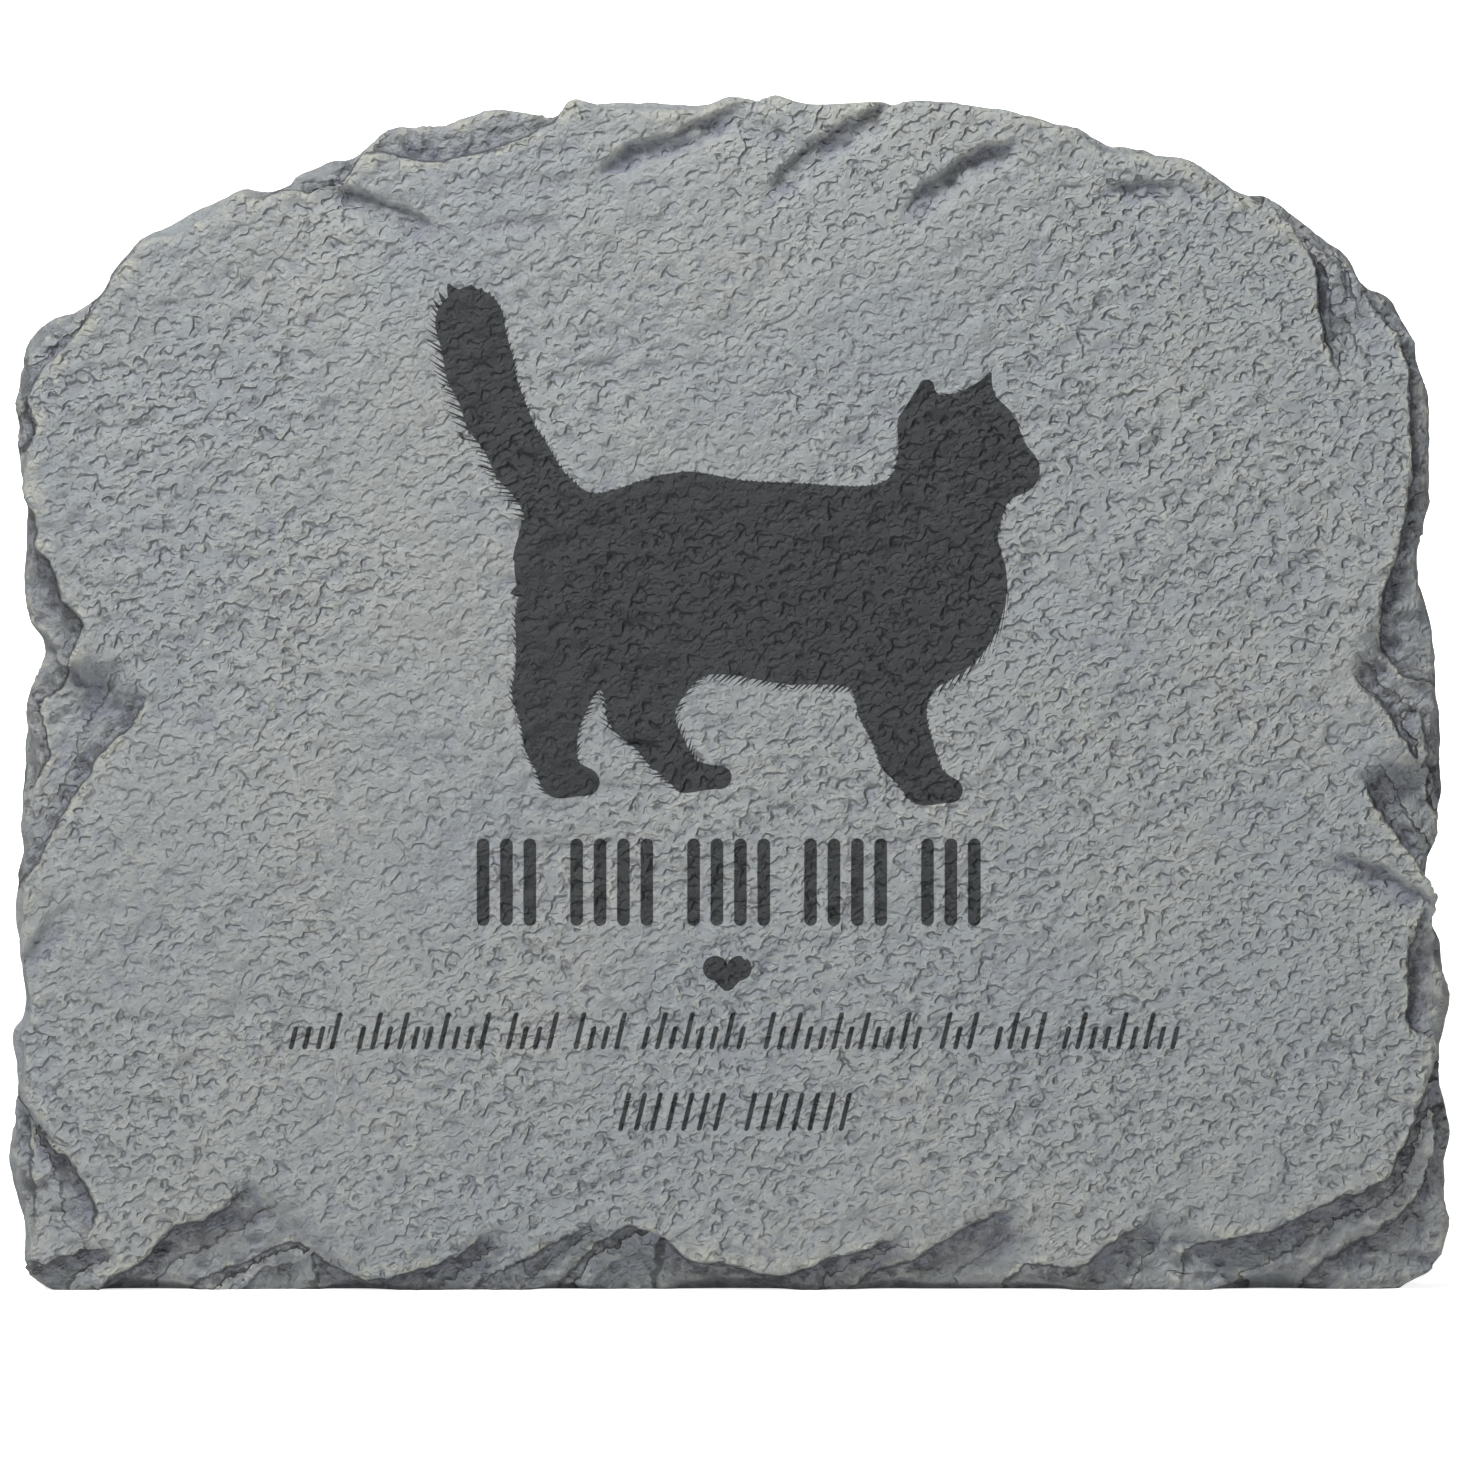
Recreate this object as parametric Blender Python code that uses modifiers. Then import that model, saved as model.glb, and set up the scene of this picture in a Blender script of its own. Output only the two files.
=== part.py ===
"""A pet memorial stone, cast in one piece to look like a split slab of slate.

It stands upright on its flat underside, with its face towards -Y, its right-hand side towards
+X and the ground at z = 0. Sizes are in metres. The rim and the carving are drawn as paths of
(percent of WIDTH from the middle, percent of HEIGHT above the ground), and every path runs
clockwise as seen from the front, so that the rim's side of it is always on its left.
"""

import bpy
import numpy as np
from mathutils import Matrix, Vector, noise

WIDTH = 0.305
HEIGHT = 0.251
THICKNESS = 0.034

FLAKE_DROP = 0.0050      # how far a full flake's floor lies behind the face at its end
FLAKE_LIP = 0.0008       # how far from its ridge a flake's steep first part reaches
FLAKE_RUN = 0.011        # how far from its ridge a flake goes on sloping down
TAPER = 0.014            # a flake and a crevice fade out over this much at each end
CREVICE_DEPTH = 0.0014
CREVICE_WALL = 0.0016    # width of a crevice's steep wall, on the rim's side
CREVICE_FLOOR = 0.0028   # width of its flat floor
CREVICE_SIDE = 0.0065    # its gentle side ends this far from the steep wall
FULLY_BROKEN = 0.3       # a floor this share of FLAKE_DROP deep is as rough as it gets
FLAKE_ROUGHNESS = 0.0011
FACE_WAVE = 0.0007       # height of the slow waves over the face
WANDER = 0.0011          # how far the ridges stray from their drawn paths
FINE_WANDER = 0.00044    # and how far in shorter waves
RIM_ROUND = 0.0022       # radius of the worn front edge
RIM_UNEVEN = 0.5         # how much of that radius comes and goes
BACK_ROUND = 0.0015      # how far the back edge is worn in
SIDE_STEP = 0.0034       # how far the layers in the broken sides stand behind one another
SIDE_REACH = 0.014       # the steps fade out this far inside the rim
SLATE_LAYERS = 6         # layers that show in the sides
LAYER_TILT = 0.35        # how far the layers rise and fall, as a share of one
LAYER_FLAT = 0.6         # the share of a layer's thickness that is flat
GROUND_REACH = 0.020     # the underside is levelled by pulling this height of stone down
GROUND_END = (0.445, 0.475)  # it is levelled up to here, as shares of WIDTH from the middle

SAW_SPARE = 0.0015       # stone behind the back and below the ground, which is sawn off
PATH_STEP = 0.0022       # spacing of the points on the smooth paths
CELL = 0.0012            # spacing of the surface before it is thinned out
TRIANGLES = 8600         # triangles that the thinned surface keeps, about

SHARP_ANGLE = np.radians(32)
STONE_COLOUR = (0.312, 0.332, 0.339, 1.0)
STONE_ROUGHNESS = 0.88

LEFT_SIDE = (
    (-48.9, 1.8), (-49.2, 5.4), (-50, 11.3), (-49.2, 16.6), (-49.7, 21.1), (-49.1, 23.8),
    (-49.5, 30.1), (-49.3, 36.8), (-49.7, 39.7), (-49.2, 44.8), (-49, 49.9), (-47.9, 54),
    (-49, 56.6), (-48.9, 64), (-49.2, 70.3), (-49.6, 75.7), (-48.3, 81.2),
)
DOME = (
    (-44.5, 83.7), (-42.8, 86), (-39.9, 88.7), (-36.2, 90.8), (-33.4, 92.2), (-32, 92),
    (-28.2, 94.6), (-26.2, 95.2), (-23.6, 97.2), (-19.9, 97.8), (-16.6, 98.9), (-12.3, 98.3),
    (-11.2, 99.5), (-7, 99.7), (-2.4, 99.4), (-0.1, 100), (1.8, 99.5), (3, 100), (5.7, 99.2),
    (13.6, 99.5), (18.7, 98.8), (23.1, 97.7), (26, 96.2), (27.5, 96.3), (31.7, 94.6),
    (35.2, 91.9), (37, 91.5), (39.2, 90.3), (42.4, 87.4), (43.9, 84.9), (46.1, 82.8),
)
RIGHT_SIDE = (
    (47.5, 79.5), (47.5, 77.1), (48.4, 73.6), (48.3, 66.1), (47.9, 59.4), (48.6, 54.4),
    (49.2, 44.4), (48.8, 38.5), (48.8, 31.4), (49.5, 25.5), (48.9, 18.4), (50, 12.1),
    (49.7, 4.6), (49, 2.3),
)
GROUND_EDGE = (
    (47.3, 0.8), (42.5, -0.6), (38.1, 1.3), (35.2, 0.9), (31.3, -0.6), (25.3, -0.6),
    (21.4, 0.5), (13.8, 0.5), (11, 0.8), (6.1, -0.6), (2.1, 0.8), (-2.7, 0.7), (-6.6, -0.6),
    (-11.6, 0.5), (-15.8, -0.6), (-21, -0.6), (-26.8, 0.5), (-30.4, -0.8), (-35.3, -0.8),
    (-38.2, 0.5), (-42.1, 0.7), (-45.5, -0.6),
)

# Each flake that was struck off the rim: the path of its ridge, its drop as a share of
# FLAKE_DROP, and the part of that drop that lies in its steep lip.
FLAKES = (
    # the lower left corner and the left side, upwards
    (((-41.6, 2.7), (-44.3, 3.7), (-46, 2.8), (-48.9, 2.4), (-50.6, 2.3)), 0.7, 0.5),
    (((-43.7, 2.3), (-44.3, 4), (-43.7, 6.7), (-45.8, 11.2), (-47.8, 13.6), (-50.6, 20)), 0.45, 0.8),
    (((-51, 31), (-47.4, 36.9), (-45.7, 40.1), (-43.2, 44.9), (-40.9, 47.8), (-39.4, 51.5)), 0.8, 0.6),
    (((-50.6, 40), (-47.4, 44.8), (-47.9, 49), (-46.5, 50.1), (-44.8, 55.6), (-46.3, 57.6),
      (-46.8, 59.9), (-48, 62.1), (-47.9, 64.4), (-49.8, 69)), 0.75, 0.6),
    (((-50.6, 67), (-48.4, 71.5), (-48.9, 74.4), (-46.9, 77.6), (-45.2, 80.8), (-43.9, 83.7),
      (-41.2, 86.9), (-40.4, 90.5)), 0.95, 0.85),
    # the dome, from left to right
    (((-34.5, 90.2), (-32, 91.6), (-28.2, 92.1), (-26, 94.1), (-24.8, 98.5)), 0.5, 0.7),
    (((-27.5, 95.4), (-23.8, 95.1), (-20.8, 94.4), (-15.8, 95.4), (-11.6, 98.6), (-11, 102)), 0.55, 0.7),
    (((33.8, 94.5), (35.7, 91.5), (37.9, 89.9), (39.2, 87.9), (40.3, 85.6), (40.7, 80.3),
      (42, 75)), 0.6, 0.8),
    # the right side, downwards
    (((42, 89.5), (44.3, 83.3), (46.2, 78.7), (46.9, 72.8), (46.5, 65), (44.9, 58),
      (44.6, 55), (45.8, 52.2), (51, 49)), 0.6, 0.6),
    (((41.4, 52.1), (44.6, 49.3), (46.8, 45.4), (48.8, 42), (50.8, 37)), 0.75, 0.8),
    (((43, 44.5), (43.8, 41.8), (45.3, 38.8), (47.7, 34.6), (51, 29)), 0.85, 0.8),
    (((48.5, 34), (46.6, 28.8), (47.1, 25.1), (47.2, 21.8), (51, 20)), 0.6, 0.5),
    # the lower right corner and the ground edge, from right to left
    (((52, 22), (48.6, 18.2), (46.6, 13.3), (44.7, 9.4), (41, 7.4), (37, 5.1), (31.7, 4),
      (31, 2.4), (30.8, -2)), 0.75, 0.5),
    (((30, 8.2), (28, 5.4), (25.1, 3.4), (23.8, 2.1), (20.3, 2.4), (19.4, 1.3), (16, -2)), 0.8, 0.4),
    (((20.6, 8.2), (17.6, 6.3), (14.7, 4.5), (12.1, 2.7), (9, 1.1), (6.5, -2)), 0.85, 0.45),
    (((12.8, 5.6), (9.6, 3.6), (6.5, 2.5), (3.9, 1.3), (2.2, 1.4), (-0.5, 2.4), (-2.9, 2.7),
      (-5.3, 4.8), (-7, 5.5), (-8.3, 4.8), (-11, 2.1), (-14, -2)), 1.1, 0.4),
    (((-8.6, 7.4), (-10.3, 5.6), (-13.8, 3.2), (-17.1, 0.9), (-20, -2)), 0.7, 0.5),
    (((-15.5, 6), (-18.1, 3.6), (-21, 2), (-24.9, 0.9), (-27.3, 2.4), (-28.7, 3.8), (-30, 4.5),
      (-31.1, 4.4), (-34.8, 2), (-37.1, 0.5), (-39.5, -2)), 1.0, 0.4),
    (((-32, 10.6), (-34.2, 8), (-36.2, 6.3), (-38.4, 5.1), (-40.4, 2.9), (-42.8, 1.1),
      (-45.5, -2)), 0.75, 0.5),
)

# Flakes struck off a second time, nearer the rim, on top of the ones above.
OUTER_FLAKES = (
    (((-49.3, 2.5), (-48.3, 7), (-48.2, 11), (-48.6, 14), (-50.5, 18)), 0.5, 0.5),
    (((-50.2, 77), (-47.9, 80.5), (-45.8, 82.2), (-45, 85.5)), 0.3, 0.5),
    (((36.5, 93.5), (39.6, 88.7), (42.2, 85.3), (43, 80)), 0.35, 0.6),
    (((47, 50), (48, 45.5), (48.2, 41), (50.6, 38)), 0.5, 0.5),
    (((51, 19), (48.6, 13.6), (48.4, 11.2), (46.6, 6.9), (42.7, 4), (39.9, 1.8), (36, -2)), 0.55, 0.7),
    (((-4.2, 5.6), (-6.5, 3.4), (-9, 1.6), (-11, -2)), 0.3, 0.6),
    (((-27.8, 3.2), (-30.2, 2.6), (-33, 1.4), (-36, -2)), 0.35, 0.6),
)

# Each crevice in the face: its path, and its depth as a share of CREVICE_DEPTH. The steep wall
# is the one on the rim's side.
CREVICES = (
    (((-29.5, 93.4), (-26.4, 92.2), (-23.8, 90.6), (-21.6, 89.4), (-18.3, 87.6)), 0.85),
    (((-9.6, 91.6), (-6.8, 95.5), (-4, 96.8), (-0.9, 98.4), (3, 100.5)), 0.85),
    (((1.9, 89.4), (3.3, 93.1), (5, 95.2), (8.5, 97.8), (13.5, 100.8)), 1.0),
    (((-1.5, 99.8), (2.8, 97.1), (5.8, 95)), 0.5),
    (((11.2, 88), (12.9, 91.5), (14.7, 93.1), (17.3, 95.2), (21, 97.2)), 1.0),
    (((24, 91.2), (27.3, 92.8), (30, 92.9), (33.8, 92)), 0.6),
    (((39.6, 37.2), (43.9, 35.4), (46, 34.1), (50, 31)), 0.9),
    (((-50, 25), (-48.4, 28.9), (-45.8, 33)), 0.6),
    (((-50.2, 18), (-47.9, 13.8), (-45.4, 11.4)), 0.9),
)


def clear_scene():
    for thing in list(bpy.data.objects):
        bpy.data.objects.remove(thing, do_unlink=True)


def smoothstep(low, high, value):
    share = np.clip((value - low) / (high - low), 0, 1)
    return share * share * (3 - 2 * share)


def in_metres(path):
    return np.array(path) * (WIDTH / 100, HEIGHT / 100)


def smooth_path(corners, closed=False):
    """A smooth curve through the corners, as points about PATH_STEP apart."""
    if closed:
        around = np.vstack((corners[-1:], corners, corners[:2]))
    else:
        ends = 2 * corners[[0, -1]] - corners[[1, -2]]
        around = np.vstack((ends[:1], corners, ends[1:]))
    points = []
    for before, start, end, after in zip(around, around[1:], around[2:], around[3:]):
        steps = max(2, int(np.ceil(np.linalg.norm(end - start) / PATH_STEP)))
        t = (np.arange(steps) / steps)[:, None]
        points.append(
            start
            + t * (end - before) / 2
            + t**2 * (2 * before - 5 * start + 4 * end - after) / 2
            + t**3 * (3 * start - before - 3 * end + after) / 2
        )
    if not closed:
        points.append(corners[-1:])
    return np.vstack(points)


def along(places, path):
    """Each place's offset from the path, positive on its left, how far along it the nearest
    point lies, and the path's direction there."""
    legs = np.diff(path, axis=0)
    lengths = np.linalg.norm(legs, axis=1)
    units = legs / lengths[:, None]
    corners = np.vstack((units[:1], units[:-1] + units[1:], units[-1:]))
    offset = np.full(len(places), np.inf)
    travelled = np.zeros(len(places))
    direction = np.zeros((len(places), 2))
    covered = 0.0
    for i, (start, unit, length) in enumerate(zip(path, units, lengths)):
        away = places - start
        forward = np.clip(away @ unit, 0, length)
        away -= forward[:, None] * unit
        gap = np.linalg.norm(away, axis=1)
        nearer = gap < np.abs(offset)
        heading = np.where(forward[:, None] <= 0, corners[i], unit)
        heading = np.where(forward[:, None] >= length, corners[i + 1], heading)[nearer]
        left = heading[:, 0] * away[nearer, 1] - heading[:, 1] * away[nearer, 0] >= 0
        offset[nearer] = np.where(left, 1, -1) * gap[nearer]
        travelled[nearer] = covered + forward[nearer]
        direction[nearer] = unit
        covered += length
    return offset, travelled, direction


def waves(places, size, seed):
    """Smooth noise of about -1 to 1 at each place, with features of this size."""
    scaled = np.column_stack((places, np.full(len(places), seed * size))) / size
    return np.array([noise.noise(Vector(place)) for place in scaled.tolist()])


def drift(places, size, seed):
    """Two such noises side by side, to move each place across and up by."""
    return np.column_stack((waves(places, size, seed), waves(places, size, seed + 5)))


def near(places, path, margin):
    """Which places lie within this margin of the path's box."""
    low, high = path.min(axis=0) - margin, path.max(axis=0) + margin
    return ((places > low) & (places < high)).all(axis=1)


def fade_at_ends(travelled, path):
    length = np.linalg.norm(np.diff(path, axis=0), axis=1).sum()
    taper = min(TAPER, length / 3)
    return smoothstep(0, taper, travelled) * smoothstep(0, taper, length - travelled)


def flake_depth(places, flakes):
    """The deepest of these flakes at each place."""
    depth = np.zeros(len(places))
    for corners, drop, lip_share in flakes:
        path = smooth_path(in_metres(corners))
        chosen = near(places, path, 2 * FLAKE_RUN)
        offset, travelled, _ = along(places[chosen], path)
        outside = np.maximum(offset, 0)
        lip = 1 - np.exp(-outside / FLAKE_LIP)
        slope = np.minimum(outside / FLAKE_RUN, 1)
        fall = drop * FLAKE_DROP * (lip_share * lip + (1 - lip_share) * slope)
        depth[chosen] = np.maximum(depth[chosen], fall * fade_at_ends(travelled, path))
    return depth


def crevice_depth(places):
    depth = np.zeros(len(places))
    for corners, share in CREVICES:
        path = smooth_path(in_metres(corners))
        chosen = near(places, path, 2 * CREVICE_SIDE)
        offset, travelled, _ = along(places[chosen], path)
        fall = share * CREVICE_DEPTH * smoothstep(CREVICE_WALL, 0, offset)
        fall *= smoothstep(CREVICE_SIDE, CREVICE_FLOOR, -offset)
        depth[chosen] = np.maximum(depth[chosen], fall * fade_at_ends(travelled, path))
    return depth


def face_depth(places, inside_rim):
    """How far the broken face lies behind its flat front at each place."""
    strayed = places + WANDER * drift(places, 0.016, 3) + FINE_WANDER * drift(places, 0.005, 13)
    depth = flake_depth(strayed, FLAKES) + flake_depth(strayed, OUTER_FLAKES)
    depth += crevice_depth(strayed)
    broken = np.clip(depth / (FULLY_BROKEN * FLAKE_DROP), 0, 1)
    coarse, fine = waves(places, 0.009, 23), waves(places, 0.004, 28)
    depth += FLAKE_ROUGHNESS * broken * np.maximum(0.6 * coarse + 0.4 * fine + 0.5, 0)
    depth += FACE_WAVE * (0.5 + 0.5 * waves(places, 0.038, 33))
    radius = RIM_ROUND * (1 + RIM_UNEVEN * waves(places, 0.012, 38))
    edge = np.clip(1 - inside_rim / radius, 0, 1)
    return depth + radius * (1 - np.sqrt(1 - edge**2))


def side_inset(places, back_share, downward):
    """How far the broken side lies inside the rim, layer by layer from front to back."""
    reach = [waves(places, 0.024, 43 + 5 * layer) for layer in range(SLATE_LAYERS + 1)]
    reach = np.array(reach)
    steps = reach.max(axis=0) - reach
    height = np.clip(back_share, 0, 1) * SLATE_LAYERS + LAYER_TILT * waves(places, 0.05, 90)
    height = np.clip(height, 0, SLATE_LAYERS - 0.001)
    layer = height.astype(int)
    blend = smoothstep(LAYER_FLAT, 1, height - layer)
    column = np.arange(len(places))
    inset = SIDE_STEP * ((1 - blend) * steps[layer, column] + blend * steps[layer + 1, column])
    inset += BACK_ROUND * smoothstep(0.9, 1, back_share)
    return inset * (1 - downward)


def carve(points, rim):
    """Moves the points of the plain slab to the broken stone's surface."""
    front = -THICKNESS / 2
    places = points[:, [0, 2]]
    closed_rim = np.vstack((rim, rim[:1]))
    offset, _, direction = along(places, closed_rim)
    inside_rim = np.maximum(-offset, 0)

    depth = face_depth(places, inside_rim)
    points[:, 1] = front + depth + (points[:, 1] - front) * (1 - depth / THICKNESS)
    back_share = (points[:, 1] - front) / THICKNESS

    ground = in_metres(GROUND_EDGE[::-1])
    lowest = np.interp(places[:, 0], ground[:, 0], ground[:, 1])
    middle = 1 - smoothstep(*GROUND_END, np.abs(places[:, 0]) / WIDTH)
    low_down = np.clip(1 - (places[:, 1] - lowest) / GROUND_REACH, 0, 1)
    sink = (lowest + SAW_SPARE) * middle * low_down * smoothstep(0.2, 0.4, back_share)
    points[:, 2] -= sink

    inward = np.column_stack((direction[:, 1], -direction[:, 0]))
    downward = smoothstep(0.35, 0.85, inward[:, 1]) * (places[:, 1] < HEIGHT / 4)
    at_rim = inside_rim < SIDE_REACH
    inset = side_inset(places[at_rim], back_share[at_rim], downward[at_rim])
    inset *= 1 - inside_rim[at_rim] / SIDE_REACH
    points[np.ix_(at_rim, [0, 2])] += inward[at_rim] * inset[:, None]
    return points


def evaluated_mesh(thing):
    """A new mesh of the object with its modifiers applied, or of a curve with its fill."""
    graph = bpy.context.evaluated_depsgraph_get()
    return bpy.data.meshes.new_from_object(thing.evaluated_get(graph))


def plain_slab(rim):
    """The rim's outline as a closed slab, remeshed into even cells."""
    curve = bpy.data.curves.new("slab outline", "CURVE")
    curve.dimensions = "2D"
    curve.fill_mode = "BOTH"
    curve.extrude = (THICKNESS + SAW_SPARE) / 2
    spline = curve.splines.new("POLY")
    spline.points.add(len(rim) - 1)
    for point, (across, up) in zip(spline.points, rim):
        point.co = (across, up, 0, 1)
    spline.use_cyclic_u = True

    drawn = bpy.data.objects.new("slab outline", curve)
    bpy.context.scene.collection.objects.link(drawn)
    mesh = evaluated_mesh(drawn)
    bpy.data.objects.remove(drawn, do_unlink=True)
    mesh.transform(
        Matrix.Translation((0, SAW_SPARE / 2, 0)) @ Matrix.Rotation(np.pi / 2, 4, "X")
    )

    slab = bpy.data.objects.new("plain slab", mesh)
    bpy.context.scene.collection.objects.link(slab)
    weld = slab.modifiers.new("Weld", "WELD")
    weld.merge_threshold = 0.00001
    remesh = slab.modifiers.new("Remesh", "REMESH")
    remesh.mode = "VOXEL"
    remesh.voxel_size = CELL
    even = evaluated_mesh(slab)
    bpy.data.objects.remove(slab, do_unlink=True)
    bpy.data.meshes.remove(mesh)
    return even


def saw(name, low, high, collection):
    """A box that saws the stone flat, from its lowest to its highest corner."""
    low, high = Vector(low), Vector(high)
    bpy.ops.mesh.primitive_cube_add(size=1, location=(low + high) / 2)
    box = bpy.context.active_object
    box.name = name
    box.data.transform(Matrix.Diagonal((*(high - low), 1)))
    box.hide_render = True
    box.display_type = "WIRE"
    for home in list(box.users_collection):
        home.objects.unlink(box)
    collection.objects.link(box)
    return box


def cast_slate():
    material = bpy.data.materials.new("cast slate")
    material.use_nodes = True
    shader = material.node_tree.nodes["Principled BSDF"]
    shader.inputs["Base Color"].default_value = STONE_COLOUR
    shader.inputs["Roughness"].default_value = STONE_ROUGHNESS
    shader.inputs["Metallic"].default_value = 0.0
    return material


def memorial_stone(collection, saws):
    rim = smooth_path(in_metres(LEFT_SIDE + DOME + RIGHT_SIDE + GROUND_EDGE), closed=True)
    mesh = plain_slab(rim)
    points = np.empty(len(mesh.vertices) * 3)
    mesh.vertices.foreach_get("co", points)
    points = carve(points.reshape(-1, 3), rim)
    mesh.vertices.foreach_set("co", points.ravel())
    mesh.update()

    stone = bpy.data.objects.new("memorial_stone", mesh)
    collection.objects.link(stone)
    thin_out = stone.modifiers.new("Thin out", "DECIMATE")
    thin_out.ratio = TRIANGLES / (2 * len(mesh.polygons))
    stone.data = evaluated_mesh(stone)
    bpy.data.meshes.remove(mesh)
    stone.modifiers.remove(thin_out)
    stone.data.name = "memorial_stone"
    across = [vertex.co.x for vertex in stone.data.vertices]
    stone.data.transform(Matrix.Translation((-(min(across) + max(across)) / 2, 0, 0)))
    stone.data.materials.append(cast_slate())
    stone.data.shade_smooth()
    stone.data.set_sharp_from_angle(angle=SHARP_ANGLE)
    for box in saws:
        cut = stone.modifiers.new(box.name, "BOOLEAN")
        cut.operation = "DIFFERENCE"
        cut.solver = "MANIFOLD"
        cut.object = box


def main():
    clear_scene()
    scene = bpy.context.scene
    parts = bpy.data.collections.new("Pet memorial stone")
    cutters = bpy.data.collections.new("Cutters")
    scene.collection.children.link(parts)
    scene.collection.children.link(cutters)
    side, behind, below = WIDTH, THICKNESS, HEIGHT / 4
    ground_saw = saw("ground saw", (-side, -behind, -below), (side, behind, 0), cutters)
    back_saw = saw(
        "back saw", (-side, THICKNESS / 2, -2 * below), (side, behind, HEIGHT + below), cutters
    )
    memorial_stone(parts, (back_saw, ground_saw))


main()
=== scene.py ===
"""A pet memorial stone: one block of cast slate with a printed cat, a heart and three rows of
shallow strokes on its pitted face.

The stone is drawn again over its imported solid, from the same outline, flakes and crevices,
with the finer relief on top. Paths are (percent of WIDTH from the middle, percent of HEIGHT
above the ground), clockwise as seen from the front, so that the rim is on each path's left.
"""

import itertools

import bmesh
import bpy
import numpy as np
from mathutils import Matrix, Vector, noise


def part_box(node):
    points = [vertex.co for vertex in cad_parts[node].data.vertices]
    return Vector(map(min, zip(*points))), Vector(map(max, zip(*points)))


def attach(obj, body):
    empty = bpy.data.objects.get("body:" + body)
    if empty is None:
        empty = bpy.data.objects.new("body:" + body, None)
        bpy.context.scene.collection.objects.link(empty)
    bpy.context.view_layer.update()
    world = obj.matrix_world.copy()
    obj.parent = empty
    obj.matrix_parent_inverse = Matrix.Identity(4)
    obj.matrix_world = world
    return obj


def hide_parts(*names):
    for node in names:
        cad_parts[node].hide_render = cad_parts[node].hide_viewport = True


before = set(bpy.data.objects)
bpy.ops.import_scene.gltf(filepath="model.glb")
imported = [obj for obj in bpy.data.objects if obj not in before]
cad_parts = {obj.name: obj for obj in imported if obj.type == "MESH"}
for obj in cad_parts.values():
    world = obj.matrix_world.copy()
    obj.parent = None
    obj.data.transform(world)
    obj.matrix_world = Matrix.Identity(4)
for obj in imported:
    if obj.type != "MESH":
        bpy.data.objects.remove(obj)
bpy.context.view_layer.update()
node_low, node_high = (np.array(corner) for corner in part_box("memorial_stone"))
WIDTH, THICKNESS, HEIGHT = node_high - node_low

# The broken form, in metres.
FLAKE_DROP = 0.0050      # how far a full flake's floor lies behind the face at its end
FLAKE_LIP = 0.0005       # how far from its ridge a flake's steep first part reaches
FLAKE_RUN = 0.011        # how far from its ridge a flake goes on sloping down
TAPER = 0.014            # a flake and a crevice fade out over this much at each end
CREVICE_DEPTH = 0.0014
CREVICE_WALL = 0.0016    # width of a crevice's steep wall, on the rim's side
CREVICE_FLOOR = 0.0028   # width of its flat floor
CREVICE_SIDE = 0.0065    # its gentle side ends this far from the steep wall
RIM_ROUND = 0.0022       # radius of the worn front edge
RIM_UNEVEN = 0.5         # how much of that radius comes and goes
BACK_ROUND = 0.0015      # how far the back edge is worn in
FACE_WAVE = 0.0007       # height of the slow waves over the face
FULLY_BROKEN = 0.3       # a floor this share of FLAKE_DROP deep is as rough as it gets
FLAKE_ROUGHNESS = 0.0011
WANDER = 0.0011          # how far the ridges stray from their drawn paths
FINE_WANDER = 0.4 * WANDER   # and how far in shorter waves
SIDE_STEP = 0.0034       # how far the layers in the broken sides stand behind one another
SIDE_REACH = 0.014       # the steps fade out this far inside the rim
SLATE_LAYERS = 6
LAYER_TILT = 0.35        # how far the layers rise and fall, as a share of one
LAYER_FLAT = 0.6         # the share of a layer's thickness that is flat
GROUND_REACH = 0.020     # the underside is levelled by pulling this height of stone down
GROUND_END = (0.445, 0.475)  # it is levelled up to here, as shares of WIDTH from the middle
SAW_SPARE = 0.0015       # stone behind the back and below the ground, which is cut off
PATH_STEP = 0.0022       # spacing of the points on the smooth paths
WELD = 0.00001

# The finer relief.
UPHILL = np.array((-0.47, 0.88))  # across and up, towards the pits' steep side
PIT_DEPTH = 0.00070
PIT_SIZE = 0.0042
SMALL_PITS = 0.7         # depth of the pits of half the size, as a share
CALM_PITS = 0.6          # how much shallower the pits are in calm patches and on scars
PIT_PUSH = 0.0032        # how far the pits' steep side is pushed over
SWELL = 0.00045          # height of the lumps between the pits
LAYER_ROUGHNESS = 0.0007 # how unevenly the thin layers in the sides are broken
SCAR_ROUGHNESS = 0.0012
EDGE_WANDER = 0.0005     # how far the ridges stray again, in shorter waves
STROKE_DEPTH = 0.00028
LEDGE_FAR = 0.03         # a ledge's distance where there is none nearby
LOWEST_LEDGE = 0.05      # ledges lower than this share of a full one don't count
CREVICE_LEDGE = 0.14     # height of a full crevice's wall as a ledge

CELL = 0.00062           # spacing of the surface before it is thinned out
TRIANGLES = 160000
PRINT_CELL = 0.00042     # edges this long or longer are split along the picture's outline
STROKE_CELL = 0.00056    # and along the strokes
FINE_ROUNDS = 5          # rounds of smoothing that a vertex's rise is measured against
BROAD_ROUNDS = 45
FACING = -0.3            # a normal's Y below this belongs to the face
SHARP_ANGLE = np.radians(48)

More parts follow.
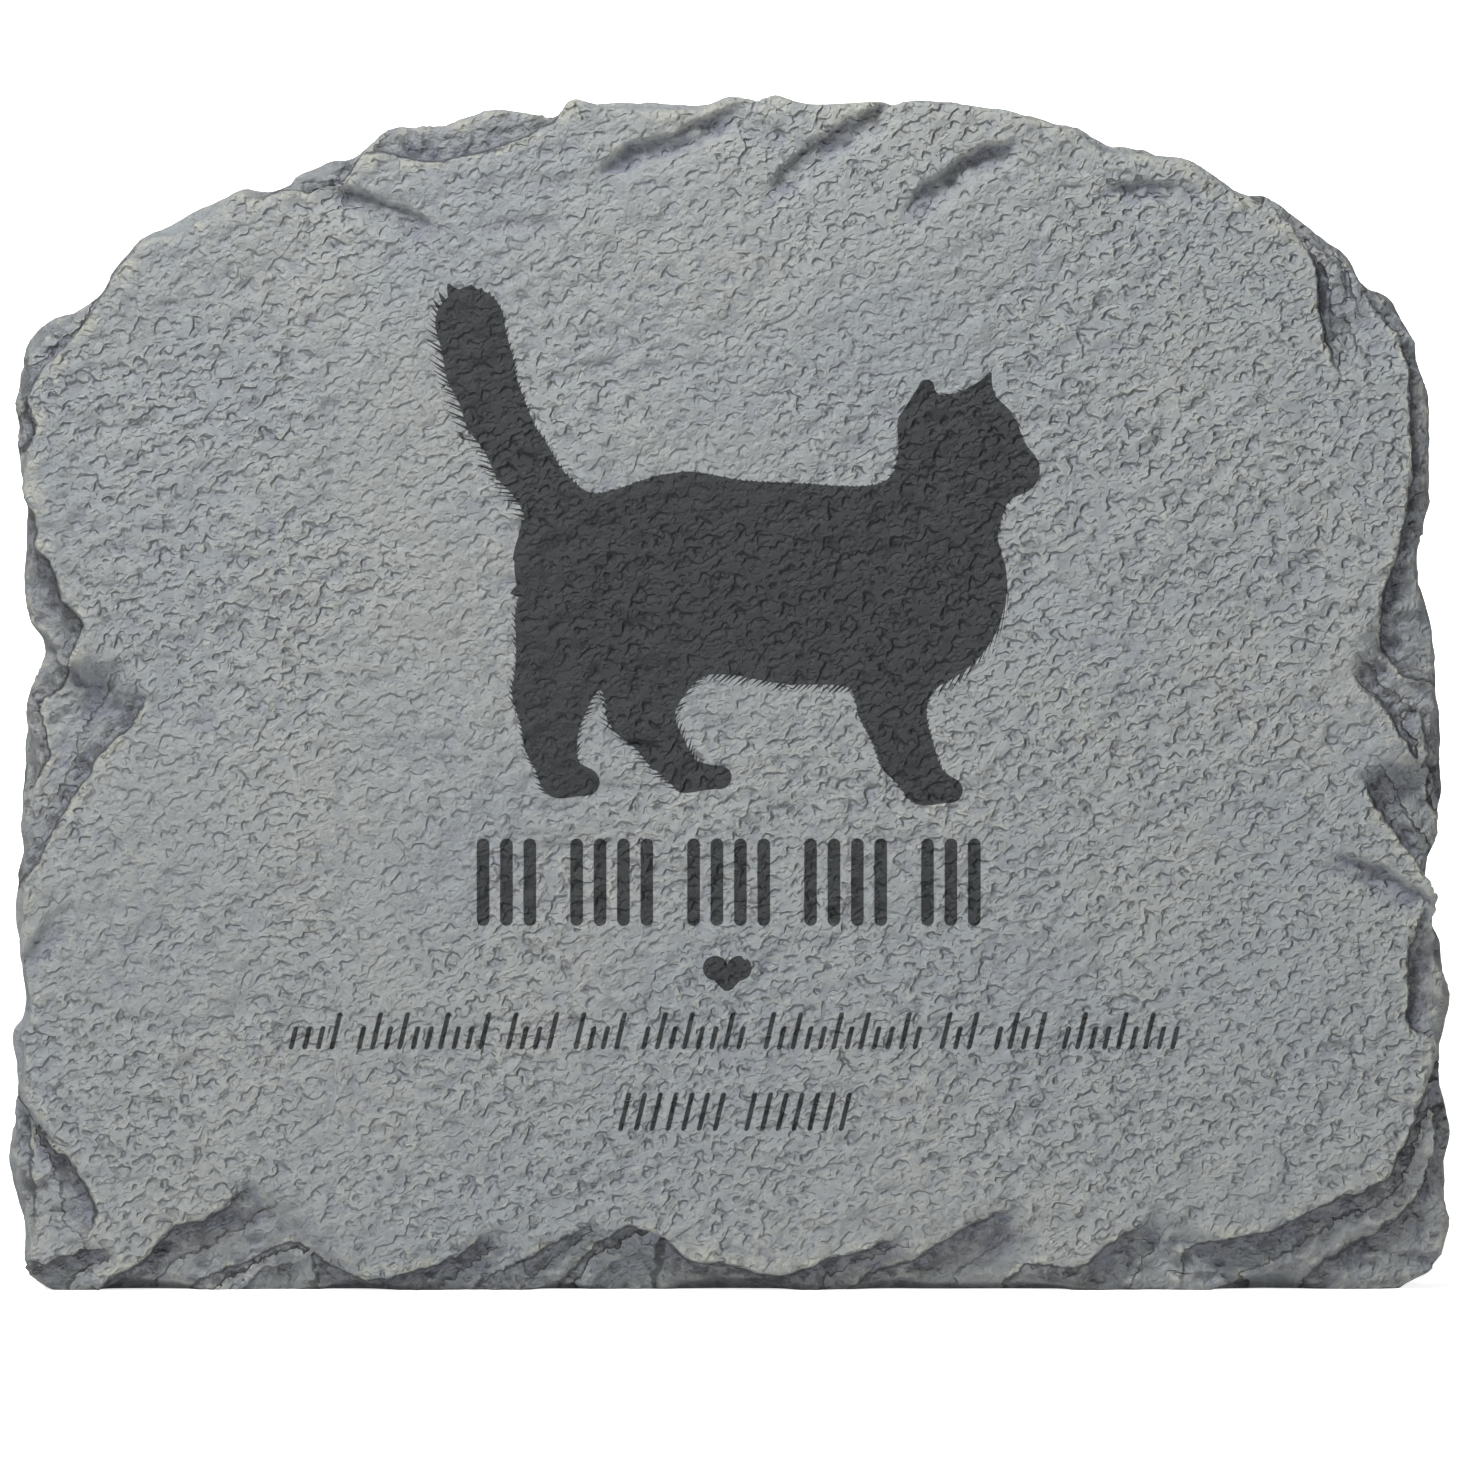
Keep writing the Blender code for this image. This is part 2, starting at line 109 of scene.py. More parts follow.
LEFT_SIDE = (
    (-48.9, 1.8), (-49.2, 5.4), (-50, 11.3), (-49.2, 16.6), (-49.7, 21.1), (-49.1, 23.8),
    (-49.5, 30.1), (-49.3, 36.8), (-49.7, 39.7), (-49.2, 44.8), (-49, 49.9), (-47.9, 54),
    (-49, 56.6), (-48.9, 64), (-49.2, 70.3), (-49.6, 75.7), (-48.3, 81.2),
)
DOME = (
    (-44.5, 83.7), (-42.8, 86), (-39.9, 88.7), (-36.2, 90.8), (-33.4, 92.2), (-32, 92),
    (-28.2, 94.6), (-26.2, 95.2), (-23.6, 97.2), (-19.9, 97.8), (-16.6, 98.9), (-12.3, 98.3),
    (-11.2, 99.5), (-7, 99.7), (-2.4, 99.4), (-0.1, 100), (1.8, 99.5), (3, 100), (5.7, 99.2),
    (13.6, 99.5), (18.7, 98.8), (23.1, 97.7), (26, 96.2), (27.5, 96.3), (31.7, 94.6),
    (35.2, 91.9), (37, 91.5), (39.2, 90.3), (42.4, 87.4), (43.9, 84.9), (46.1, 82.8),
)
RIGHT_SIDE = (
    (47.5, 79.5), (47.5, 77.1), (48.4, 73.6), (48.3, 66.1), (47.9, 59.4), (48.6, 54.4),
    (49.2, 44.4), (48.8, 38.5), (48.8, 31.4), (49.5, 25.5), (48.9, 18.4), (50, 12.1),
    (49.7, 4.6), (49, 2.3),
)
GROUND_EDGE = (
    (47.3, 0.8), (42.5, -0.6), (38.1, 1.3), (35.2, 0.9), (31.3, -0.6), (25.3, -0.6),
    (21.4, 0.5), (13.8, 0.5), (11, 0.8), (6.1, -0.6), (2.1, 0.8), (-2.7, 0.7), (-6.6, -0.6),
    (-11.6, 0.5), (-15.8, -0.6), (-21, -0.6), (-26.8, 0.5), (-30.4, -0.8), (-35.3, -0.8),
    (-38.2, 0.5), (-42.1, 0.7), (-45.5, -0.6),
)

# Each flake that was struck off the rim: the path of its ridge, its drop as a share of
# FLAKE_DROP, and the part of that drop that lies in its steep lip.
FLAKES = (
    # the lower left corner and the left side, upwards
    (((-41.6, 2.7), (-44.3, 3.7), (-46, 2.8), (-48.9, 2.4), (-50.6, 2.3)), 0.7, 0.5),
    (((-43.7, 2.3), (-44.3, 4), (-43.7, 6.7), (-45.8, 11.2), (-47.8, 13.6), (-50.6, 20)), 0.45, 0.8),
    (((-51, 31), (-47.4, 36.9), (-45.7, 40.1), (-43.2, 44.9), (-40.9, 47.8), (-39.4, 51.5)), 0.8, 0.6),
    (((-50.6, 40), (-47.4, 44.8), (-47.9, 49), (-46.5, 50.1), (-44.8, 55.6), (-46.3, 57.6),
      (-46.8, 59.9), (-48, 62.1), (-47.9, 64.4), (-49.8, 69)), 0.75, 0.6),
    (((-50.6, 67), (-48.4, 71.5), (-48.9, 74.4), (-46.9, 77.6), (-45.2, 80.8), (-43.9, 83.7),
      (-41.2, 86.9), (-40.4, 90.5)), 0.95, 0.85),
    # the dome, from left to right
    (((-34.5, 90.2), (-32, 91.6), (-28.2, 92.1), (-26, 94.1), (-24.8, 98.5)), 0.5, 0.7),
    (((-27.5, 95.4), (-23.8, 95.1), (-20.8, 94.4), (-15.8, 95.4), (-11.6, 98.6), (-11, 102)), 0.55, 0.7),
    (((33.8, 94.5), (35.7, 91.5), (37.9, 89.9), (39.2, 87.9), (40.3, 85.6), (40.7, 80.3),
      (42, 75)), 0.6, 0.8),
    # the right side, downwards
    (((42, 89.5), (44.3, 83.3), (46.2, 78.7), (46.9, 72.8), (46.5, 65), (44.9, 58),
      (44.6, 55), (45.8, 52.2), (51, 49)), 0.6, 0.6),
    (((41.4, 52.1), (44.6, 49.3), (46.8, 45.4), (48.8, 42), (50.8, 37)), 0.75, 0.8),
    (((43, 44.5), (43.8, 41.8), (45.3, 38.8), (47.7, 34.6), (51, 29)), 0.85, 0.8),
    (((48.5, 34), (46.6, 28.8), (47.1, 25.1), (47.2, 21.8), (51, 20)), 0.6, 0.5),
    # the lower right corner and the ground edge, from right to left
    (((52, 22), (48.6, 18.2), (46.6, 13.3), (44.7, 9.4), (41, 7.4), (37, 5.1), (31.7, 4),
      (31, 2.4), (30.8, -2)), 0.75, 0.5),
    (((30, 8.2), (28, 5.4), (25.1, 3.4), (23.8, 2.1), (20.3, 2.4), (19.4, 1.3), (16, -2)), 0.8, 0.4),
    (((20.6, 8.2), (17.6, 6.3), (14.7, 4.5), (12.1, 2.7), (9, 1.1), (6.5, -2)), 0.85, 0.45),
    (((12.8, 5.6), (9.6, 3.6), (6.5, 2.5), (3.9, 1.3), (2.2, 1.4), (-0.5, 2.4), (-2.9, 2.7),
      (-5.3, 4.8), (-7, 5.5), (-8.3, 4.8), (-11, 2.1), (-14, -2)), 1.1, 0.4),
    (((-8.6, 7.4), (-10.3, 5.6), (-13.8, 3.2), (-17.1, 0.9), (-20, -2)), 0.7, 0.5),
    (((-15.5, 6), (-18.1, 3.6), (-21, 2), (-24.9, 0.9), (-27.3, 2.4), (-28.7, 3.8), (-30, 4.5),
      (-31.1, 4.4), (-34.8, 2), (-37.1, 0.5), (-39.5, -2)), 1.0, 0.4),
    (((-32, 10.6), (-34.2, 8), (-36.2, 6.3), (-38.4, 5.1), (-40.4, 2.9), (-42.8, 1.1),
      (-45.5, -2)), 0.75, 0.5),
)

# Flakes struck off a second time, nearer the rim, on top of the ones above.
OUTER_FLAKES = (
    (((-49.3, 2.5), (-48.3, 7), (-48.2, 11), (-48.6, 14), (-50.5, 18)), 0.5, 0.5),
    (((-50.2, 77), (-47.9, 80.5), (-45.8, 82.2), (-45, 85.5)), 0.3, 0.5),
    (((36.5, 93.5), (39.6, 88.7), (42.2, 85.3), (43, 80)), 0.35, 0.6),
    (((47, 50), (48, 45.5), (48.2, 41), (50.6, 38)), 0.5, 0.5),
    (((51, 19), (48.6, 13.6), (48.4, 11.2), (46.6, 6.9), (42.7, 4), (39.9, 1.8), (36, -2)), 0.55, 0.7),
    (((-4.2, 5.6), (-6.5, 3.4), (-9, 1.6), (-11, -2)), 0.3, 0.6),
    (((-27.8, 3.2), (-30.2, 2.6), (-33, 1.4), (-36, -2)), 0.35, 0.6),
)

# Each crevice in the face: its path, and its depth as a share of CREVICE_DEPTH. The steep wall
# is the one on the rim's side.
CREVICES = (
    (((-29.5, 93.4), (-26.4, 92.2), (-23.8, 90.6), (-21.6, 89.4), (-18.3, 87.6)), 0.85),
    (((-9.6, 91.6), (-6.8, 95.5), (-4, 96.8), (-0.9, 98.4), (3, 100.5)), 0.85),
    (((1.9, 89.4), (3.3, 93.1), (5, 95.2), (8.5, 97.8), (13.5, 100.8)), 1.0),
    (((-1.5, 99.8), (2.8, 97.1), (5.8, 95)), 0.5),
    (((11.2, 88), (12.9, 91.5), (14.7, 93.1), (17.3, 95.2), (21, 97.2)), 1.0),
    (((24, 91.2), (27.3, 92.8), (30, 92.9), (33.8, 92)), 0.6),
    (((39.6, 37.2), (43.9, 35.4), (46, 34.1), (50, 31)), 0.9),
    (((-50, 25), (-48.4, 28.9), (-45.8, 33)), 0.6),
    (((-50.2, 18), (-47.9, 13.8), (-45.4, 11.4)), 0.9),
)

# The printed cat, as limbs. Each has the length of its fur in millimetres on the left and on
# the right of its path, and its joints as (percent of WIDTH from the middle, percent of HEIGHT
# above the ground, thickness to each side in percent of WIDTH).
LIMBS = (
    (0.5, 2.0, ((-18.1, 80.8, 2.5), (-17.4, 77, 2.2), (-16.3, 73.2, 2), (-14.5, 69.3, 1.9),
                (-12.2, 65.4, 1.9), (-10.1, 62.8, 2.3))),
    (0.2, 1.4, ((-10.4, 60.6, 4.7), (-3.4, 60, 6.7), (4.2, 59, 6.7), (11.9, 58.6, 7.1))),
    (0.4, 0.4, ((12.8, 62.3, 4.8), (14.7, 65.7, 3.7), (15.7, 69.7, 3.9), (16.5, 70.9, 3.3))),
    (0, 0, ((17.6, 69.3, 2.6), (19.6, 68.5, 1.6))),
    (0, 0, ((13, 72.5, 1.5), (13.4, 75.5, 0.5))),
    (0, 0, ((16.5, 73, 1.4), (17.8, 76.6, 0.1))),
    (0.3, 0.3, ((11.2, 53.6, 3.6), (11, 48.9, 2.1), (12, 45, 1.7), (13.2, 42.6, 1.4))),
    (0, 0, ((13.2, 42, 0.9), (15.1, 41.8, 0.8))),
    (1.1, 1.0, ((-5.6, 54.5, 5), (-6.3, 48.5, 2.1), (-4.6, 45.2, 1.3), (-3.2, 43.2, 1))),
    (0, 0, ((-3.2, 42.9, 0.8), (-0.8, 42.9, 0.8))),
    (0.9, 0.6, ((-11.2, 55.2, 3.9), (-12.4, 49.9, 2.5), (-12.5, 46, 1.6), (-11.9, 43.3, 1.4))),
    (0, 0, ((-11.8, 42.5, 0.9), (-10, 42.5, 0.9))),
)
LIMB_BLEND = 0.0013      # how softly the limbs run into one another
HEART = (-0.3, 26.3, 3.3)    # its middle, and its width in percent of WIDTH

# The rows of strokes: lowest and highest in percent of HEIGHT, thickness and spacing in
# metres, lean as run to rise, how many of the strokes are short ones, 0 to 1, the left end in
# percent of WIDTH, then how many strokes each group has, with one left out between groups.
STROKE_ROWS = (
    (30.5, 37.8, 0.0026, 0.0049, 0.0, 0.0, -17.8, (3, 4, 4, 4, 3)),
    (20.2, 23.3, 0.0010, 0.00284, 0.24, 0.62, -30.7, (4, 10, 4, 4, 8, 12, 3, 4, 9)),
    (13.4, 16.6, 0.0010, 0.0033, 0.24, 0.0, -8.1, (7, 7)),
)
SHORT_STEP = 0.618       # which strokes are short repeats at this share
SHORT_CUT = 0.38         # what a short stroke lacks of its row's height
INK_EDGE = 0.00008       # the ink fades out over this much to each side
PRINT_FAR = 0.05         # the print's distance where there is none nearby


def smoothstep(low, high, value):
    share = np.clip((value - low) / (high - low), 0, 1)
    return share * share * (3 - 2 * share)


def in_metres(path):
    return np.array(path) * (WIDTH / 100, HEIGHT / 100)


def smooth_path(corners, closed=False):
    """A smooth curve through the corners, as points about PATH_STEP apart."""
    if closed:
        around = np.vstack((corners[-1:], corners, corners[:2]))
    else:
        ends = 2 * corners[[0, -1]] - corners[[1, -2]]
        around = np.vstack((ends[:1], corners, ends[1:]))
    points = []
    for before, start, end, after in zip(around, around[1:], around[2:], around[3:]):
        steps = max(2, int(np.ceil(np.linalg.norm(end - start) / PATH_STEP)))
        t = (np.arange(steps) / steps)[:, None]
        points.append(
            start
            + t * (end - before) / 2
            + t**2 * (2 * before - 5 * start + 4 * end - after) / 2
            + t**3 * (3 * start - before - 3 * end + after) / 2
        )
    if not closed:
        points.append(corners[-1:])
    return np.vstack(points)


def near(places, path, margin):
    """Which places lie within this margin of the path's box."""
    low, high = path.min(axis=0) - margin, path.max(axis=0) + margin
    return ((places > low) & (places < high)).all(axis=1)


def along(places, path, reach):
    """Each place's offset from the path, positive on its left, how far along it the nearest
    point lies, and the path's direction there. Places beyond reach count as on its right."""
    legs = np.diff(path, axis=0)
    lengths = np.linalg.norm(legs, axis=1)
    units = legs / lengths[:, None]
    corners = np.vstack((units[:1], units[:-1] + units[1:], units[-1:]))
    offset = np.full(len(places), -reach)
    travelled = np.zeros(len(places))
    direction = np.zeros((len(places), 2))
    covered = 0.0
    for i, (start, unit, length) in enumerate(zip(path, units, lengths)):
        chosen = np.flatnonzero(near(places, path[i : i + 2], reach))
        away = places[chosen] - start
        forward = np.clip(away @ unit, 0, length)
        away -= forward[:, None] * unit
        gap = np.linalg.norm(away, axis=1)
        nearer = gap < np.abs(offset[chosen])
        heading = np.where(forward[:, None] <= 0, corners[i], unit)
        heading = np.where(forward[:, None] >= length, corners[i + 1], heading)[nearer]
        left = heading[:, 0] * away[nearer, 1] - heading[:, 1] * away[nearer, 0] >= 0
        chosen = chosen[nearer]
        offset[chosen] = np.where(left, 1, -1) * gap[nearer]
        travelled[chosen] = covered + forward[nearer]
        direction[chosen] = unit
        covered += length
    return offset, travelled, direction


def waves(places, size, seed):
    """Smooth noise of about -1 to 1 at each place, with features of this size."""
    scaled = np.column_stack((places, np.full(len(places), seed * size))) / size
    return np.array([noise.noise(Vector(place)) for place in scaled.tolist()])


def hashed(cells, seed):
    """A repeatable number of 0 to 1 for each whole-numbered cell."""
    share = np.sin(cells @ np.array((12.9898, 78.233, 37.719))[: cells.shape[1]] + 4.137 * seed)
    share *= 43758.5453
    return share - np.floor(share)


def grain(points, size, seed):
    """Quick smooth noise of -1 to 1 at each point, with features of this size."""
    scaled = points / size
    cell = np.floor(scaled)
    blend = scaled - cell
    blend *= blend * (3 - 2 * blend)
    total = np.zeros(len(points))
    for corner in itertools.product((0, 1), repeat=points.shape[1]):
        weight = np.prod(np.where(corner, blend, 1 - blend), axis=1)
        total += weight * hashed(cell + corner, seed)
    return 2 * total - 1


def fade_at_ends(travelled, path):
    length = np.linalg.norm(np.diff(path, axis=0), axis=1).sum()
    taper = min(TAPER, length / 3)
    return smoothstep(0, taper, travelled) * smoothstep(0, taper, length - travelled)


def flake_depth(places, flakes, ledge):
    """The deepest of these flakes at each place. Ledge's rows, the distance beyond the nearest
    ridge, the place along it and its height as a share, are kept up to date."""
    depth = np.zeros(len(places))
    for i, (corners, drop, lip_share) in enumerate(flakes):
        path = smooth_path(in_metres(corners))
        chosen = np.flatnonzero(near(places, path, 2 * FLAKE_RUN))
        offset, travelled, _ = along(places[chosen], path, 4 * FLAKE_RUN)
        outside = np.maximum(offset, 0)
        lip = 1 - np.exp(-outside / FLAKE_LIP)
        slope = np.minimum(outside / FLAKE_RUN, 1)
        fall = drop * FLAKE_DROP * (lip_share * lip + (1 - lip_share) * slope)
        fade = fade_at_ends(travelled, path)
        depth[chosen] = np.maximum(depth[chosen], fall * fade)
        nearest_ledge(ledge, chosen, offset, travelled + 0.1 * i, drop * lip_share * fade)
    return depth


def crevice_depth(places, ledge):
    depth = np.zeros(len(places))
    for i, (corners, share) in enumerate(CREVICES):
        path = smooth_path(in_metres(corners))
        chosen = np.flatnonzero(near(places, path, 2 * CREVICE_SIDE))
        offset, travelled, _ = along(places[chosen], path, 2 * CREVICE_SIDE)
        fall = share * CREVICE_DEPTH * smoothstep(CREVICE_WALL, 0, offset)
        fall *= smoothstep(CREVICE_SIDE, CREVICE_FLOOR, -offset)
        fade = fade_at_ends(travelled, path)
        depth[chosen] = np.maximum(depth[chosen], fall * fade)
        height = CREVICE_LEDGE * share * fade * smoothstep(CREVICE_SIDE, 0, np.abs(offset))
        nearest_ledge(ledge, chosen, CREVICE_WALL / 2 - offset, travelled + 0.1 * i, height)
    return depth


def nearest_ledge(ledge, chosen, offset, travelled, height):
    nearer = (np.abs(offset) < np.abs(ledge[0, chosen])) & (height > LOWEST_LEDGE)
    ledge[:, chosen[nearer]] = np.array((offset, travelled, height))[:, nearer]


def pit_depth(places, size, push, seed):
    """Shallow pits of 0 to 1, whose sides towards UPHILL are pushed over until they're steep."""
    pushed = places + push / 2 * grain(places, size, seed)[:, None] * UPHILL
    return smoothstep(0.15, -0.35, grain(pushed, size, seed))


def skin_depth(places, broken):
    """The fine relief of the face, from lumps and pits to the grain of the broken scars."""
    calm = smoothstep(0.05, 0.65, grain(places, 0.034, 53))
    lively = (1 - CALM_PITS * calm) * (1 - CALM_PITS * broken)
    lumps = 0.6 * grain(places, 0.0075, 54) + 0.4 * grain(places, 0.0034, 55)
    pits = pit_depth(places, PIT_SIZE, PIT_PUSH, 60)
    pits *= smoothstep(-0.3, 0.2, grain(places, 0.0085, 59))
    pits = np.maximum(pits, SMALL_PITS * pit_depth(places, PIT_SIZE / 2, PIT_PUSH / 2, 64))
    depth = lively * PIT_DEPTH * pits
    depth += (0.4 + 0.6 * lively) * SWELL * (0.5 + 0.5 * lumps)
    creased = np.abs(grain(places, 0.0052, 58)) + 0.6 * np.abs(grain(places, 0.0027, 56))
    rough = creased + 0.35 * grain(places, 0.0014, 57)
    return depth + broken * SCAR_ROUGHNESS * np.maximum(rough, 0)


def face_depth(places, inside_rim):
    """How far the broken face lies behind its flat front, how broken it is, 0 to 1, and the
    ledge that it lies nearest to."""
    stray = WANDER * np.column_stack((waves(places, 0.016, 3), waves(places, 0.016, 8)))
    stray += FINE_WANDER * np.column_stack((waves(places, 0.005, 13), waves(places, 0.005, 18)))
    stray += EDGE_WANDER * np.column_stack((grain(places, 0.0024, 61), grain(places, 0.0024, 62)))
    strayed = places + stray
    ledge = np.zeros((3, len(places)))
    ledge[0] = -LEDGE_FAR
    depth = flake_depth(strayed, FLAKES, ledge) + flake_depth(strayed, OUTER_FLAKES, ledge)
    depth += crevice_depth(strayed, ledge)
    broken = np.clip(depth / (FULLY_BROKEN * FLAKE_DROP), 0, 1)
    rough = 0.6 * waves(places, 0.009, 23) + 0.4 * waves(places, 0.004, 28)
    depth += FLAKE_ROUGHNESS * broken * np.maximum(rough + 0.5, 0)
    depth += FACE_WAVE * (0.5 + 0.5 * waves(places, 0.038, 33))
    depth += skin_depth(places, broken)
    radius = RIM_ROUND * (1 + RIM_UNEVEN * waves(places, 0.012, 38))
    edge = np.clip(1 - inside_rim / radius, 0, 1)
    return depth + radius * (1 - np.sqrt(1 - edge**2)), broken, ledge


def side_inset(points, places, back_share, downward):
    """How far the broken side lies inside the rim, layer by layer from front to back."""
    reach = [waves(places, 0.024, 43 + 5 * layer) for layer in range(SLATE_LAYERS + 1)]
    reach = np.array(reach)
    steps = reach.max(axis=0) - reach
    height = np.clip(back_share, 0, 1) * SLATE_LAYERS + LAYER_TILT * waves(places, 0.05, 90)
    height = np.clip(height, 0, SLATE_LAYERS - 0.001)
    layer = height.astype(int)
    blend = smoothstep(LAYER_FLAT, 1, height - layer)
    column = np.arange(len(places))
    inset = SIDE_STEP * ((1 - blend) * steps[layer, column] + blend * steps[layer + 1, column])
    inset += BACK_ROUND * smoothstep(0.9, 1, back_share)
    thin_layers = grain(points * (1, 5, 1), 0.008, 91) + 0.6 * grain(points * (1, 4, 1), 0.0035, 92)
    inset += LAYER_ROUGHNESS * (0.4 + thin_layers) * smoothstep(0.05, 0.2, back_share)
    return inset * (1 - downward)


def carve(points, rim):
    """Moves the points of the plain slab to the broken stone's surface, and returns them
    with how broken the face is at each, 0 to 1, and the ledge nearest to it."""
    front = -THICKNESS / 2
    places = points[:, [0, 2]]
    closed_rim = np.vstack((rim, rim[:1]))
    offset, _, direction = along(places, closed_rim, 2 * SIDE_REACH)
    inside_rim = np.maximum(-offset, 0)

    depth, broken, ledge = face_depth(places, inside_rim)
    points[:, 1] = front + depth + (points[:, 1] - front) * (1 - depth / THICKNESS)
    back_share = (points[:, 1] - front) / THICKNESS

    ground = in_metres(GROUND_EDGE[::-1])
    lowest = np.interp(places[:, 0], ground[:, 0], ground[:, 1])
    middle = 1 - smoothstep(*GROUND_END, np.abs(places[:, 0]) / WIDTH)
    low_down = np.clip(1 - (places[:, 1] - lowest) / GROUND_REACH, 0, 1)
    sink = (lowest + SAW_SPARE) * middle * low_down * smoothstep(0.2, 0.4, back_share)
    points[:, 2] -= sink

    inward = np.column_stack((direction[:, 1], -direction[:, 0]))
    downward = smoothstep(0.35, 0.85, inward[:, 1]) * (places[:, 1] < HEIGHT / 4)
    at_rim = inside_rim < SIDE_REACH
    inset = side_inset(points[at_rim], places[at_rim], back_share[at_rim], downward[at_rim])
    inset *= 1 - inside_rim[at_rim] / SIDE_REACH
    points[np.ix_(at_rim, [0, 2])] += inward[at_rim] * inset[:, None]
    return points, broken, ledge


def put(name, data):
    """A new object with this data, in the scene."""
    made = bpy.data.objects.new(name, data)
    bpy.context.scene.collection.objects.link(made)
    return made


def evaluated_mesh(thing):
    """A new mesh of the object with its modifiers applied, or of a curve with its fill."""
    graph = bpy.context.evaluated_depsgraph_get()
    return bpy.data.meshes.new_from_object(thing.evaluated_get(graph))


def plain_slab(rim):
    """The rim's outline as a closed slab, remeshed into even cells."""
    curve = bpy.data.curves.new("slab outline", "CURVE")
    curve.dimensions = "2D"
    curve.fill_mode = "BOTH"
    curve.extrude = (THICKNESS + SAW_SPARE) / 2
    spline = curve.splines.new("POLY")
    spline.points.add(len(rim) - 1)
    for point, (across, up) in zip(spline.points, rim):
        point.co = (across, up, 0, 1)
    spline.use_cyclic_u = True

    drawn = put("slab outline", curve)
    mesh = evaluated_mesh(drawn)
    bpy.data.objects.remove(drawn, do_unlink=True)
    upright = Matrix.Rotation(np.pi / 2, 4, "X")
    mesh.transform(Matrix.Translation((0, SAW_SPARE / 2, 0)) @ upright)

    slab = put("plain slab", mesh)
    weld = slab.modifiers.new("Weld", "WELD")
    weld.merge_threshold = WELD
    remesh = slab.modifiers.new("Remesh", "REMESH")
    remesh.mode = "VOXEL"
    remesh.voxel_size = CELL
    even = evaluated_mesh(slab)
    bpy.data.objects.remove(slab, do_unlink=True)
    bpy.data.meshes.remove(mesh)
    return even


def of_vertices(mesh, kind):
    """The vertices' places ("co") or directions ("normal"), a row for each."""
    found = np.empty(len(mesh.vertices) * 3)
    mesh.vertices.foreach_get(kind, found)
    return found.reshape(-1, 3)


def keep(mesh, name, values):
    """Stores one number for each vertex, for the materials to read."""
    stored = mesh.attributes.new(name, "FLOAT", "POINT")
    stored.data.foreach_set("value", values.astype(np.float32))


def rise(mesh, rounds):
    """How far each vertex stands out of its surroundings, in metres. The surroundings widen
    with each round of smoothing."""
    points = of_vertices(mesh, "co")
    edges = np.empty(len(mesh.edges) * 2, np.int32)
    mesh.edges.foreach_get("vertices", edges)
    start, end = edges.reshape(-1, 2).T
    count = np.bincount(edges, minlength=len(points))
    level = points.copy()
    for _ in range(rounds):
        for axis in range(3):
            total = np.bincount(start, level[end, axis], len(points))
            total += np.bincount(end, level[start, axis], len(points))
            level[:, axis] = total / count
    return np.einsum("ij,ij->i", points - level, of_vertices(mesh, "normal"))


def triangulate(shape):
    bmesh.ops.triangulate(shape, faces=[face for face in shape.faces if len(face.verts) > 3])


def cut_flat(mesh):
    """Cuts the back and the underside flat and closes them."""
    shape = bmesh.new()
    shape.from_mesh(mesh)
    for place, direction in (((0, THICKNESS / 2, 0), (0, 1, 0)), ((0, 0, 0), (0, 0, -1))):
        everything = shape.verts[:] + shape.edges[:] + shape.faces[:]
        bmesh.ops.bisect_plane(
            shape, geom=everything, plane_co=place, plane_no=direction, clear_outer=True
        )
        rim = [edge for edge in shape.edges if edge.is_boundary]
        bmesh.ops.holes_fill(shape, edges=rim, sides=0)
    triangulate(shape)
    shape.to_mesh(mesh)
    shape.free()


def limb_distance(places):
    """The distance from the cat's outline, negative inside, with the fur's length at the
    nearest limb and the place along that limb."""
    total = np.zeros(len(places))
    nearest = np.full(len(places), np.inf)
    fur = np.zeros(len(places))
    travelled = np.zeros(len(places))
    covered = 0.0
    for left_fur, right_fur, joints in LIMBS:
        joints = np.array(joints) * (WIDTH / 100, HEIGHT / 100, WIDTH / 100)
        for start, end in zip(joints, joints[1:]):
            bone = (end - start)[:2]
            length = np.linalg.norm(bone)
            away = places - start[:2]
            share = np.clip(away @ bone / length**2, 0, 1)
            thickness = start[2] + share * (end[2] - start[2])
            gap = np.linalg.norm(away - share[:, None] * bone, axis=1) - thickness
            total += np.exp(-gap / LIMB_BLEND)
            nearer = gap < nearest
            nearest[nearer] = gap[nearer]
            left = bone[0] * away[:, 1] - bone[1] * away[:, 0] > 0
            fur[nearer] = np.where(left, left_fur, right_fur)[nearer] / 1000
            beyond = away @ bone / length
            travelled[nearer] = covered + beyond[nearer]
            covered += length
    return -LIMB_BLEND * np.log(total), fur, travelled


def heart_distance(places):
    """Distance from a heart made of two round lobes and a point."""
    middle, height, size = np.array(HEART) * (WIDTH / 100, HEIGHT / 100, WIDTH / 100)
    across = np.abs(places[:, 0] - middle) / size
    up = (places[:, 1] - height) / size
    lobe = np.hypot(across - 0.25, up - 0.17) - 0.26
    slope = (across + 0.98 * (-up) - 0.36) * 0.714
    below = np.maximum.reduce((slope, up - 0.17, across - 0.5))
    return np.minimum(lobe, below) * size


def stroke_ends(groups):
    """The number of each group's first stroke in its row, and of the one left out after it."""
    first = 0
    for size in groups:
        yield first, first + size
        first += size + 1


